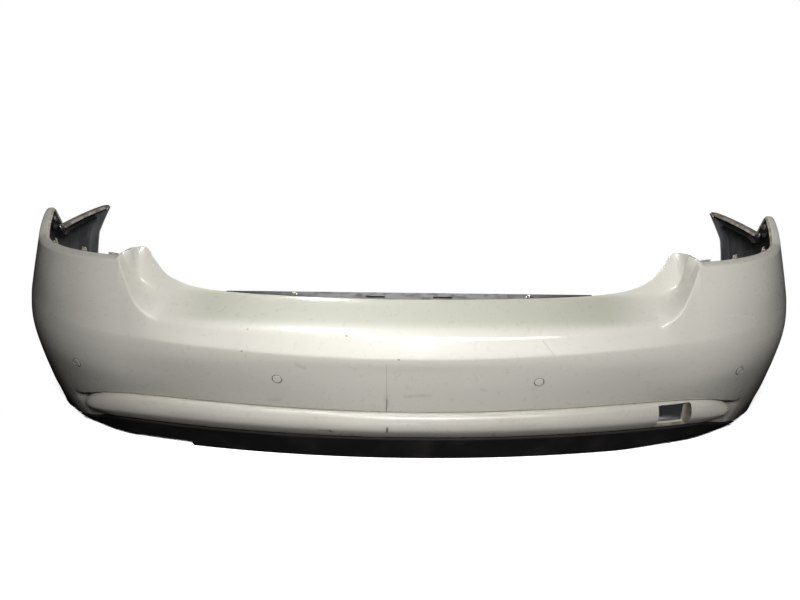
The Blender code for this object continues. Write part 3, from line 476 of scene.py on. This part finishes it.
def skin_slots(total, front, back, outer, girths):
    """Material of each face of the skin: painted outside, bare inside, raw and stained flanges."""
    columns, rows = outer.shape[:2]
    column = np.repeat(np.arange(columns - 1), rows - 1)
    row = np.tile(np.arange(rows - 1), columns - 1)
    flange_columns = len(FLANGE_DEPTHS) + BEND_STEPS - 2
    on_arch = (column < flange_columns) | (column >= columns - 1 - flange_columns)
    shoulder_row = 2 + 9 * ROUND_STEPS + ROUND_STEPS // 2
    lip_row = rows - 3 - ROUND_STEPS // 2
    mid_girth = (girths[column] + girths[column + 1]) / 2
    on_seam = (mid_girth > SEAM_START) & (row > shoulder_row)
    on_edge = (mid_girth > NOTCH_START) & (mid_girth < NOTCH_END) & (row > lip_row)
    slots = np.full(total, PAINTED, np.int32)
    slots[:front][on_edge] = STAINED
    slots[:front][on_arch | on_seam] = RAW
    slots[front:front + back] = BARE
    slots[front:front + back][on_seam & ~on_arch] = RAW
    return slots


STRIP_SHAPE = (                         # forward and up, as shares of the strip's depth and height
    (0.0, 0.0), (0.28, 0.0), (0.52, 0.12), (0.88, 0.34), (1.0, 0.46), (1.0, 0.66), (0.78, 0.90), (0.46, 1.0),
    (0.0, 1.0))
STRIP_CUTS = (0.0, 0.003, 0.006, 0.006, 0.005, 0.006, 0.006, 0.004, 0.0)


def strip_controls(girth):
    """Control points of the strip's section, from its lower back edge round the front to the upper."""
    top = smooth(RECESS, girth, 2) - STRIP_GAP
    low = smooth(STRIP_LOW, girth)
    share = (girth - STRIP_TAPER) / (STRIP_END - STRIP_TAPER)
    run = np.where(girth > STRIP_TAPER, np.maximum(0.0, 1.0 - share ** 2), 1.0)
    tall = 0.15 + 0.85 * np.sqrt(run)
    deep = 0.25 + 0.75 * np.sqrt(run)
    middle = 0.48 * low + 0.52 * top
    columns = []
    for forward, up in STRIP_SHAPE:
        x, y, _ = plan(girth, STRIP_BACK - STRIP_BULGE * forward * deep)
        columns.append(np.stack((x, y, middle + (low + up * (top - low) - middle) * tall), axis=-1))
    return np.stack(columns, axis=1)


def build_strip():
    """The body-coloured bar in the recess, with the towing-eye pocket and hole."""
    girths = spread((0.0, 0.46, 0.010), (0.46, 0.66, 0.006), (0.66, 0.72, 0.004), (0.72, STRIP_END, 0.0015))
    cuts = np.tile(STRIP_CUTS, (len(girths), 1))
    front = mirrored(rounded(strip_controls(girths), cuts))
    mesh = strip_mesh("trim_strip", front)
    strip = new_object("trim_strip", mesh)
    mesh.materials.append(MATERIALS["strip_paint"])
    pocket = block("tow_pocket_tool", (-TOW_WIDTH / 2, -0.02, TOW_LOW),
                   (TOW_WIDTH / 2, STRIP_BACK - 0.0035, TOW_HIGH), upright_frame(TOW_GIRTH), 0.0035, 3)
    pocket.data.materials.append(MATERIALS["pocket"])
    subtract(strip, [pocket, tow_hole_tool()])
    shade(strip, 35)
    return strip


def strip_mesh(name, front):
    """Closed bar: the rounded front and a flat back, capped at both ends."""
    columns, rows = front.shape[:2]
    j, i = np.meshgrid(np.arange(columns - 1), np.arange(rows), indexing="ij")
    a, b = (j * rows + i).ravel(), (j * rows + (i + 1) % rows).ravel()
    faces = np.stack((a, a + rows, b + rows, b), axis=1).tolist()
    faces.append(list(range(rows)))
    faces.append(list(range(columns * rows - 1, (columns - 1) * rows - 1, -1)))
    mesh = bpy.data.meshes.new(name)
    mesh.from_pydata(front.reshape(-1, 3).tolist(), [], faces)
    mesh.update()
    return mesh


def build_valance():
    """The dark shell under the skin's hem, with its exhaust cut-out and rivet holes."""
    girths = spread((0.0, 0.42, 0.012), (0.42, 0.66, 0.008), (0.66, VALANCE_END, 0.006))
    hem_inset, hem_height = smooth(HEM, girths), smooth(HEM, girths, 2)
    top = hem_height - VALANCE_GAP
    low = smooth(VALANCE_LOW, girths)
    tall = top - low
    rows = [(hem_inset + 0.062, low), (hem_inset + 0.013, low), (hem_inset + 0.010, low + 0.06 * tall),
            (hem_inset + 0.007, low + 0.30 * tall), (hem_inset + 0.001, low + 0.72 * tall),
            (hem_inset - 0.002, low + 0.90 * tall), (hem_inset - 0.001, top), (hem_inset + HEM_FLANGE, top)]
    columns = []
    for inset, height in rows:
        x, y, _ = plan(girths, inset)
        columns.append(np.stack((x, y, height), axis=-1))
    controls = mirrored(np.stack(columns, axis=1))
    cuts = np.tile([0.0, 0.0035, 0.004, 0.02, 0.02, 0.0025, 0.0022, 0.0], (len(controls), 1))
    mesh, _, _ = shell_mesh("valance", rounded(controls, cuts), rounded(inward(controls, WALL), cuts))
    valance = new_object("valance", mesh)
    mesh.materials.append(MATERIALS["grained_plastic"])
    cut = block("exhaust_tool", (-EXHAUST_HALF, 0.0, -0.04), (EXHAUST_HALF, EXHAUST_DEPTH, EXHAUST_TOP),
                upright_frame(EXHAUST_GIRTH), 0.012, 5)
    subtract(valance, [cut] + rivet_tools())
    shade(valance, 35)
    return valance


TABS = (                                # girth, half width and height above the seam flange
    (0.722, 0.0065, 0.0085), (0.850, 0.0080, 0.0090), (0.628, 0.0120, 0.0045))
TAB_GAP = 0.0012


def build_tabs():
    """Spring tabs clipped on the inner edge of the seam flange beside the lamps, both sides."""
    pieces = []
    for side, label in ((-1, "left"), (1, "right")):
        for count, (girth, half, rise) in enumerate(TABS):
            inset = float(smooth(LIP, girth)) + EDGE_IN
            place = upright_frame(side * girth, inset + TAB_GAP, float(smooth(LIP, girth, 2)))
            piece = block(f"seam_tab_{label}_{count}", (-half, 0.0, -0.008), (half, 0.0020, rise - 0.003),
                          place, 0.0009, 3)
            lug = block(f"seam_lug_{label}_{count}", (-0.0035, -0.004, -0.0005), (0.0035, 0.0010, 0.0012),
                        place, 0.0004, 2)
            join = piece.modifiers.new("Join", "BOOLEAN")
            join.operation = "UNION"
            join.solver = "EXACT"
            join.object = lug
            settle(piece)
            bpy.data.objects.remove(lug)
            piece.data.materials.clear()
            piece.data.materials.append(MATERIALS["tab"])
            shade(piece, 30)
            pieces.append(piece)
    return pieces


# ---------------------------------------------------------------- materials
class Surface:
    """A material under construction: short calls that add and join its nodes."""

    def __init__(self, name):
        self.material = bpy.data.materials.new(name)
        self.material.use_nodes = True
        self.tree = self.material.node_tree
        self.shader = self.tree.nodes["Principled BSDF"]
        self.place = self.add("ShaderNodeTexCoord").outputs["Object"]

    def add(self, kind, **settings):
        node = self.tree.nodes.new(kind)
        for key, value in settings.items():
            setattr(node, key, value)
        return node

    def put(self, socket, value):
        if isinstance(value, bpy.types.NodeSocket):
            self.tree.links.new(value, socket)
        elif isinstance(value, tuple) and len(value) == 3 and socket.type == "RGBA":
            socket.default_value = (*value, 1.0)
        else:
            socket.default_value = value

    def set(self, **values):
        for key, value in values.items():
            self.put(self.shader.inputs[key.replace("_", " ")], value)

    def math(self, operation, *values, clamp=False):
        node = self.add("ShaderNodeMath", operation=operation, use_clamp=clamp)
        for socket, value in zip(node.inputs, values):
            self.put(socket, value)
        return node.outputs[0]

    def vector(self, operation, a, b=None, scale=None):
        node = self.add("ShaderNodeVectorMath", operation=operation)
        self.put(node.inputs[0], a)
        if b is not None:
            self.put(node.inputs[1], b)
        if scale is not None:
            self.put(node.inputs["Scale"], scale)
        return node.outputs["Value"] if operation in ("DOT_PRODUCT", "LENGTH") else node.outputs[0]

    def noise(self, scale, detail=3.0, roughness=0.5, stretch=(1, 1, 1), offset=(0, 0, 0)):
        mapping = self.add("ShaderNodeMapping")
        self.put(mapping.inputs["Vector"], self.place)
        self.put(mapping.inputs["Scale"], stretch)
        self.put(mapping.inputs["Location"], offset)
        node = self.add("ShaderNodeTexNoise")
        for key, value in (("Vector", mapping.outputs[0]), ("Scale", scale), ("Detail", detail),
                           ("Roughness", roughness)):
            self.put(node.inputs[key], value)
        return node.outputs["Fac"]

    def span(self, value, low, high, to_low=0.0, to_high=1.0, soft=True):
        node = self.add("ShaderNodeMapRange", interpolation_type="SMOOTHSTEP" if soft else "LINEAR")
        for socket, part in zip(node.inputs, (value, low, high, to_low, to_high)):
            self.put(socket, part)
        return node.outputs[0]

    def mix(self, factor, a, b, blend="MIX"):
        node = self.add("ShaderNodeMix", data_type="RGBA", blend_type=blend)
        self.put(node.inputs["Factor"], factor)
        self.put(node.inputs[6], a)
        self.put(node.inputs[7], b)
        return node.outputs[2]

    def axes(self):
        node = self.add("ShaderNodeSeparateXYZ")
        self.put(node.inputs[0], self.place)
        return node.outputs

    def bump(self, height, strength, distance):
        node = self.add("ShaderNodeBump")
        self.put(node.inputs["Height"], height)
        self.put(node.inputs["Strength"], strength)
        self.put(node.inputs["Distance"], distance)
        self.put(self.shader.inputs["Normal"], node.outputs[0])

    def near(self, start, end, width, blur, wander=0.0, offset=0.0):
        """1 within the width of a line between two points, fading to 0 over the blur."""
        point = self.place
        if wander:
            wobble = self.add("ShaderNodeTexNoise")
            self.put(wobble.inputs["Vector"], self.vector("ADD", self.place, (offset, offset, 0.0)))
            self.put(wobble.inputs["Scale"], 55.0)
            self.put(wobble.inputs["Detail"], 4.0)
            centred = self.vector("SUBTRACT", wobble.outputs["Color"], (0.5, 0.5, 0.5))
            point = self.vector("ADD", point, self.vector("SCALE", centred, scale=wander))
        a, run = Vector(start), Vector(end) - Vector(start)
        to_point = self.vector("SUBTRACT", point, tuple(a))
        along = self.vector("DOT_PRODUCT", to_point, tuple(run / max(run.length_squared, 1e-9)))
        foot = self.vector("SCALE", tuple(run), scale=self.math("ADD", along, 0.0, clamp=True))
        gap = self.vector("LENGTH", self.vector("SUBTRACT", to_point, foot))
        return self.span(gap, width, width + blur, 1.0, 0.0)


    def marks(self, rows):
        """The strongest of several marks, each given as the arguments of near() with its ends as spots."""
        return strongest(self, [self.near(spot(*start), spot(*end), *rest) for start, end, *rest in rows])


def strongest(surface, masks):
    out = masks[0]
    for mask in masks[1:]:
        out = surface.math("MAXIMUM", out, mask)
    return out


PAINT = (0.800, 0.780, 0.700)
STRIP_PAINT = (0.680, 0.655, 0.590)
GRIME = (0.20, 0.175, 0.15)
# yellowed grey of the shelf's middle: dust and painted shade that tones down its brightly lit top
SHELF_DUST_AND_SHADE = (0.48, 0.49, 0.40)
# purplish dark of the low outer corners: mostly painted shade for the light falling off there, with some
# dirt
CORNER_SHADE_AND_DIRT = (0.16, 0.135, 0.135)

# Marks on the paint. Each has its two ends as (girth, height), with an inset where it isn't on the rear
# face, then its half width and blur, and how far and with which pattern a wandering line strays.
SPECK = 0.0015                          # length of a speck along the girth


def speck(girth, height, width, blur, inset=None):
    return (girth, height, inset), (girth + SPECK, height, inset), width, blur


SMUDGES = (
    ((-0.217, 0.238), (-0.203, 0.234), 0.001, 0.007, 0.010, 1.0),
    ((-0.006, 0.169), (0.044, 0.171), 0.001, 0.006, 0.012, 2.0),
    ((-0.281, 0.146), (-0.260, 0.148), 0.001, 0.007, 0.010, 3.0),
    ((0.146, 0.186), (0.155, 0.183), 0.001, 0.005, 0.008, 4.0),
    ((-0.042, 0.166), (-0.043, 0.140), 0.001, 0.008, 0.008, 5.0),
)
CRACK_HIGH = (((-0.042, 0.244), (-0.0425, 0.159), 0.0002, 0.0016, 0.0025, 6.0),)
CRACK_LOW_AND_CHIPS = (
    ((-0.0425, 0.159), (-0.043, 0.130), 0.0003, 0.0018, 0.0040, 7.0),
    speck(-0.317, 0.301, 0.0008, 0.0016),
    speck(-0.121, 0.296, 0.0008, 0.0016),
    speck(-0.019, 0.256, 0.0008, 0.0016),
    speck(-0.325, 0.262, 0.0008, 0.0014),
)
GREY_SCRATCHES = (
    ((0.262, 0.288), (0.284, 0.262), 0.0003, 0.0022, 0.0030, 8.0),
    ((0.265, 0.290, 0.0115), (0.287, 0.263, -0.0015), 0.0002, 0.0014, 0.0040, 9.0),
)
PALE_ARC = (
    ((0.642, 0.321), (0.682, 0.318), 0.0002, 0.0020, 0.0015, 10.0),
    ((0.682, 0.318), (0.725, 0.306), 0.0002, 0.0020, 0.0015, 10.0),
)
PALE_NICKS = (
    speck(-0.692, 0.391, 0.0007, 0.0014),
    speck(-0.727, 0.400, 0.0005, 0.0011),
    speck(-0.548, 0.392, 0.0006, 0.0013, inset=0.098),
)
PAINT_MARKS = (                         # marks, how strongly they show and their colour
    (SMUDGES, 0.17, (0.34, 0.31, 0.28)),
    (CRACK_HIGH, 0.26, (0.10, 0.085, 0.075)),
    (CRACK_LOW_AND_CHIPS, 0.72, (0.10, 0.085, 0.075)),
    (GREY_SCRATCHES, 0.22, (0.30, 0.28, 0.26)),
    (PALE_ARC, 0.40, (0.93, 0.93, 0.92)),
    (PALE_NICKS, 0.8, (0.93, 0.93, 0.92)),
)
STRIP_MARKS = (                         # a chip, the scratch that leads to it and the foot of the crack
    ((-0.158, 0.085, 0.011), (-0.157, 0.085, 0.011), 0.0022, 0.0016, 0.003, 1.0),
    ((-0.183, 0.087, 0.0105), (-0.158, 0.085, 0.011), 0.0002, 0.0014, 0.002, 2.0),
    ((-0.041, 0.098, 0.008), (-0.041, 0.070, 0.0095), 0.0010, 0.0022, 0.004, 3.0),
)


def paint_layers(surface, base):
    """Aged white paint: cloudy tint, dust in the gloss and orange peel."""
    cloud = surface.span(surface.noise(3.2, 4.0, 0.55), 0.35, 0.70)
    colour = surface.mix(surface.math("MULTIPLY", cloud, 0.35), base, tuple(0.90 * c for c in base))
    dust = surface.noise(75.0, 5.0, 0.65)
    rough = surface.span(dust, 0.3, 0.75, 0.24, 0.40, soft=False)
    peel = surface.noise(420.0, 2.0, 0.5)
    surface.bump(peel, 0.012, 0.0004)
    surface.set(Roughness=rough, Coat_Weight=0.45, Coat_Roughness=0.07, IOR=1.5)
    return colour


def make_paint():
    """The painted skin: dust and painted shade on the shelf, painted shade and some dirt on the low corners,
    and its marks.
    """
    s = Surface("paint")
    colour = paint_layers(s, PAINT)
    x, _, z = s.axes()
    middle = s.span(s.math("ABSOLUTE", x), 0.50, 0.38)
    # dust and painted shade: the middle of the upward-facing shelf is made darker and yellower
    shelf_dust_and_shade = s.math("MULTIPLY", middle, s.math("MULTIPLY", s.span(z, 0.300, 0.318), s.span(z, 0.352, 0.344)))
    colour = s.mix(s.math("MULTIPLY", shelf_dust_and_shade, 0.75), colour, SHELF_DUST_AND_SHADE)
    # painted shade with some dirt: the low outer corners darken towards a purplish dark where the light
    # falls off
    corner = s.math("MULTIPLY", s.span(s.math("ABSOLUTE", x), 0.58, 0.80), s.span(z, 0.28, 0.10))
    colour = s.mix(s.math("MULTIPLY", corner, 0.72), colour, CORNER_SHADE_AND_DIRT)
    low = s.math("MULTIPLY", s.span(z, 0.16, 0.03), s.span(s.noise(9.0, 5.0, 0.6), 0.35, 0.75))
    colour = s.mix(s.math("MULTIPLY", low, 0.5), colour, GRIME)

    for rows, share, tint in PAINT_MARKS:
        colour = s.mix(s.math("MULTIPLY", s.marks(rows), share), colour, tint)
    s.set(Base_Color=colour)
    return s.material


def make_strip_paint():
    """The trim strip's duller paint, with a thin dirt film."""
    s = Surface("strip_paint")
    colour = paint_layers(s, STRIP_PAINT)
    film = s.span(s.noise(7.0, 5.0, 0.6, stretch=(1, 1, 3)), 0.40, 0.72)
    colour = s.mix(s.math("MULTIPLY", film, 0.22), colour, (0.45, 0.40, 0.36))
    colour = s.mix(s.math("MULTIPLY", s.marks(STRIP_MARKS), 0.8), colour, (0.07, 0.06, 0.055))
    s.set(Base_Color=colour, Coat_Weight=0.15, Coat_Roughness=0.20)
    return s.material


def make_bare_plastic():
    """Unpainted inside of the skin: dark slate plastic with flow streaks, dust and stains."""
    s = Surface("bare_plastic")
    streak = s.span(s.noise(26.0, 4.0, 0.6, stretch=(1, 1, 0.12)), 0.35, 0.70)
    colour = s.mix(streak, (0.100, 0.104, 0.110), (0.205, 0.208, 0.215))
    dust = s.span(s.noise(11.0, 6.0, 0.65), 0.50, 0.80)
    colour = s.mix(s.math("MULTIPLY", dust, 0.45), colour, (0.33, 0.31, 0.27))
    s.set(Base_Color=colour, Roughness=s.span(dust, 0, 1, 0.42, 0.70), IOR=1.46)
    s.bump(s.noise(240.0, 3.0, 0.6), 0.08, 0.0005)
    return s.material


def make_raw_flange():
    """Flanges under the seam and at the wheel arch: thin overspray over grey-brown plastic."""
    s = Surface("raw_flange")
    blotch = s.span(s.noise(34.0, 5.0, 0.65), 0.35, 0.68)
    colour = s.mix(blotch, (0.20, 0.175, 0.145), (0.48, 0.43, 0.36))
    olive = s.span(s.noise(15.0, 4.0, 0.6, offset=(3, 1, 2)), 0.55, 0.70)
    colour = s.mix(s.math("MULTIPLY", olive, 0.55), colour, (0.11, 0.115, 0.06))
    s.set(Base_Color=colour, Roughness=s.span(blotch, 0, 1, 0.75, 0.50), IOR=1.46)
    s.bump(s.noise(300.0, 3.0, 0.6), 0.10, 0.0005)
    return s.material


def make_blotched(name, dark, pale, olive, share):
    """Unpainted or stained edge: two tones in blotches with an olive growth in places."""
    s = Surface(name)
    blotch = s.span(s.noise(60.0, 5.0, 0.65), 0.35, 0.68)
    growth = s.span(s.noise(22.0, 4.0, 0.6, offset=(1, 4, 2)), 0.42, 0.62)
    colour = s.mix(s.math("MULTIPLY", growth, share), s.mix(blotch, dark, pale), olive)
    s.set(Base_Color=colour, Roughness=s.span(blotch, 0, 1, 0.70, 0.45), IOR=1.46)
    s.bump(s.noise(400.0, 3.0, 0.6), 0.10, 0.0004)
    return s.material


def make_grained_plastic():
    """Black moulded plastic with a leather-like grain and dust, with a painted highlight as a paler band
    near its top edge.
    """
    s = Surface("grained_plastic")
    cells = s.add("ShaderNodeTexVoronoi")
    s.put(cells.inputs["Vector"], s.place)
    s.put(cells.inputs["Scale"], 620.0)
    fine = s.noise(1100.0, 3.0, 0.6)
    grain = s.math("ADD", cells.outputs["Distance"], s.math("MULTIPLY", fine, 0.6))
    dust = s.span(s.noise(14.0, 6.0, 0.65), 0.42, 0.80)
    colour = s.mix(s.math("MULTIPLY", dust, 0.5), (0.013, 0.012, 0.013), (0.045, 0.040, 0.037))
    _, _, z = s.axes()
    # painted highlight: a paler band along the top of the valance's face
    top_edge_highlight = s.math("MULTIPLY", s.span(z, 0.0535, 0.0565), 0.5)
    colour = s.mix(top_edge_highlight, colour, (0.075, 0.068, 0.062))
    s.set(Base_Color=colour, Roughness=s.span(dust, 0, 1, 0.50, 0.72), IOR=1.46)
    s.bump(grain, 0.35, 0.0006)
    return s.material


def make_moulded(name, dark, pale, low, high):
    """Smooth moulded plastic or rubber with handling marks."""
    s = Surface(name)
    worn = s.span(s.noise(45.0, 5.0, 0.65), 0.40, 0.75)
    s.set(Base_Color=s.mix(worn, dark, pale), Roughness=s.span(worn, 0, 1, low, high), IOR=1.46)
    s.bump(s.noise(500.0, 2.0, 0.5), 0.12, 0.0004)
    return s.material


def make_zinc():
    s = Surface("zinc")
    tarnish = s.span(s.noise(160.0, 5.0, 0.65), 0.40, 0.70)
    colour = s.mix(tarnish, (0.66, 0.64, 0.59), (0.36, 0.33, 0.28))
    s.set(Base_Color=colour, Roughness=s.span(tarnish, 0, 1, 0.28, 0.55), Metallic=1.0)
    s.bump(s.noise(900.0, 2.0, 0.5), 0.10, 0.0003)
    return s.material


MATERIALS = {
    "paint": make_paint(),
    "strip_paint": make_strip_paint(),
    "bare_plastic": make_bare_plastic(),
    "raw_flange": make_raw_flange(),
    "stained_edge": make_blotched("stained_edge", (0.42, 0.39, 0.30), (0.66, 0.63, 0.54),
                                  (0.26, 0.25, 0.12), 0.75),
    "pocket": make_blotched("pocket", (0.20, 0.175, 0.14), (0.36, 0.32, 0.26), (0.16, 0.15, 0.08), 0.55),
    "tab": make_blotched("tab", (0.45, 0.41, 0.33), (0.68, 0.64, 0.55), (0.36, 0.33, 0.20), 0.40),
    "grained_plastic": make_grained_plastic(),
    "grey_plastic": make_moulded("grey_plastic", (0.040, 0.041, 0.045), (0.075, 0.074, 0.076), 0.42, 0.62),
    "black_plastic": make_moulded("black_plastic", (0.018, 0.018, 0.020), (0.040, 0.039, 0.040), 0.40, 0.62),
    "ring_rubber": make_moulded("ring_rubber", (0.10, 0.09, 0.08), (0.20, 0.18, 0.16), 0.55, 0.80),
    "zinc": make_zinc(),
}
NODE_MATERIALS = (                      # start of the CAD nodes' names and their material
    ("centre_guide", "black_plastic"), ("guide_screw", "zinc"), ("side_guide", "black_plastic"),
    ("side_bolt", "zinc"), ("park_sensor", "paint"), ("sensor_ring", "ring_rubber"),
    ("sensor_holder", "black_plastic"), ("rivet_body", "black_plastic"), ("rivet_pin", "grey_plastic"))


# ---------------------------------------------------------------- the object
def build_object():
    for piece, node, slot in ((build_skin(), "bumper_skin", "white_paint"),
                              (build_strip(), "lower_trim_strip", "white_paint"),
                              (build_valance(), "lower_valance", "black_plastic")):
        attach(piece, "cover")
        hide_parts(node)
    for piece in build_tabs():
        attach(piece, "cover")
    for name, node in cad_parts.items():
        for prefix, material in NODE_MATERIALS:
            if name.startswith(prefix):
                node.data.materials.clear()
                node.data.materials.append(MATERIALS[material])


# ---------------------------------------------------------------- stage, light and camera
FLOOR = (0.90, 0.90, 0.90)
FLOOR_HALF = 12.0
SURROUND = (1.0, 1.0, 1.0)
FADE_BEHIND, FADE_BEFORE, FADE_BESIDE = (0.36, 0.60), (-0.62, -0.80), (0.84, 0.96)
SKY = (-0.2, 0.1, 0.0, 0.015)           # from this rise to that, the sky's strength grows from dim to full
LAMPS = (                               # name, place, target, size, watts, spread in degrees, what it lights
    ("overhead", (0.0, -0.2, 2.6), (0.0, 0.0, 0.3), (2.0, 1.0), 6.0, 180, "object"),
    ("rear", (0.0, 2.4, 1.5), (0.0, 0.0, 0.15), (1.6, 0.8), 26.0, 180, "object"),
    ("front", (0.08, -1.45, 1.15), (0.0, -0.2, 0.2), (0.55, 0.30), 15.5, 180, "object"),
    ("front_right", (0.65, -1.45, 1.1), (0.2, -0.2, 0.2), (0.4, 0.25), 4.4, 180, "object"),
    ("glint", (-0.43, -0.70, 1.50), (-0.17, -0.28, 0.30), (0.20, 0.14), 0.34, 40, "object"),
    ("flash", (0.06, -1.45, 0.82), (0.02, -0.29, 0.29), (0.09, 0.05), 0.05, 40, "object"),
    ("floor_wash", (0.0, -1.9, 1.7), (0.0, 0.0, 0.0), (0.9, 0.4), 150.0, 180, "floor"),
)
SENSOR_WIDTH, FOCAL_LENGTH = 36.0, 29.0
CAMERA_BACK, CAMERA_HEIGHT = 1.108, 0.814
CAMERA_TILT, CAMERA_ROLL = math.radians(21.4), 0.0122
CAMERA_SHIFT = -0.01125


def area_light(name, place, target, size, power, spread, lights, floor):
    """Soft lamp that lights either the object or the floor, so that each keeps its own exposure."""
    data = bpy.data.lights.new(name, "AREA")
    data.shape = "RECTANGLE"
    data.size, data.size_y = size
    data.energy = power
    data.spread = math.radians(spread)
    lamp = bpy.data.objects.new(name, data)
    bpy.context.scene.collection.objects.link(lamp)
    lamp.location = place
    lamp.rotation_euler = (Vector(target) - Vector(place)).to_track_quat("-Z", "Y").to_euler()
    lit = bpy.data.collections.new(f"lit_by_{name}")
    lit.objects.link(floor)
    lamp.light_linking.receiver_collection = lit
    lit.collection_objects[0].light_linking.link_state = "INCLUDE" if lights == "floor" else "EXCLUDE"


def build_floor():
    """Pale floor that fades into a pale surround."""
    bm = bmesh.new()
    bmesh.ops.create_grid(bm, x_segments=1, y_segments=1, size=FLOOR_HALF)
    floor = from_bmesh("floor", bm)
    s = Surface("floor_surface")
    s.set(Base_Color=FLOOR, Roughness=0.95, Specular_IOR_Level=0.0)
    x, y, _ = s.axes()
    far = strongest(s, [s.span(y, *FADE_BEHIND), s.span(y, *FADE_BEFORE),
                        s.span(s.math("ABSOLUTE", x), *FADE_BESIDE)])
    pale = s.add("ShaderNodeEmission")
    pale.inputs["Color"].default_value = (*SURROUND, 1.0)
    blend = s.add("ShaderNodeMixShader")
    s.put(blend.inputs[0], far)
    s.tree.links.new(s.shader.outputs[0], blend.inputs[1])
    s.tree.links.new(pale.outputs[0], blend.inputs[2])
    s.tree.links.new(blend.outputs[0], s.tree.nodes["Material Output"].inputs["Surface"])
    floor.data.materials.append(s.material)
    floor.visible_diffuse = False
    floor.visible_glossy = False
    return floor


def build_sky():
    """Soft sky that grows brighter upwards, and a plain pale surround where the camera sees it."""
    world = bpy.data.worlds.new("studio")
    bpy.context.scene.world = world
    world.use_nodes = True
    nodes, links = world.node_tree.nodes, world.node_tree.links
    sky = nodes["Background"]
    direction = nodes.new("ShaderNodeTexCoord")
    split = nodes.new("ShaderNodeSeparateXYZ")
    links.new(direction.outputs["Generated"], split.inputs[0])
    rise = nodes.new("ShaderNodeMapRange")
    rise.interpolation_type = "SMOOTHSTEP"
    links.new(split.outputs[2], rise.inputs[0])
    for socket, value in zip(list(rise.inputs)[1:5], SKY):
        socket.default_value = value
    links.new(rise.outputs[0], sky.inputs["Strength"])
    sky.inputs["Color"].default_value = (1.0, 1.0, 1.0, 1.0)
    seen = nodes.new("ShaderNodeBackground")
    seen.inputs["Color"].default_value = (*SURROUND, 1.0)
    path = nodes.new("ShaderNodeLightPath")
    choose = nodes.new("ShaderNodeMixShader")
    links.new(path.outputs["Is Camera Ray"], choose.inputs[0])
    links.new(sky.outputs[0], choose.inputs[1])
    links.new(seen.outputs[0], choose.inputs[2])
    links.new(choose.outputs[0], nodes["World Output"].inputs["Surface"])


def build_camera():
    data = bpy.data.cameras.new("camera")
    data.sensor_width = SENSOR_WIDTH
    data.lens = FOCAL_LENGTH
    data.shift_x = CAMERA_SHIFT
    data.clip_start, data.clip_end = 0.05, 50.0
    camera = bpy.data.objects.new("camera", data)
    bpy.context.scene.collection.objects.link(camera)
    camera.matrix_world = (Matrix.Translation((0.0, -PLAN_MIDDLE - CAMERA_BACK, CAMERA_HEIGHT))
                           @ Matrix.Rotation(math.pi / 2 - CAMERA_TILT, 4, "X")
                           @ Matrix.Rotation(CAMERA_ROLL, 4, "Z"))
    bpy.context.scene.camera = camera


build_object()
floor = build_floor()
build_sky()
for lamp in LAMPS:
    area_light(*lamp, floor)
build_camera()
bpy.context.scene.view_settings.view_transform = "Standard"
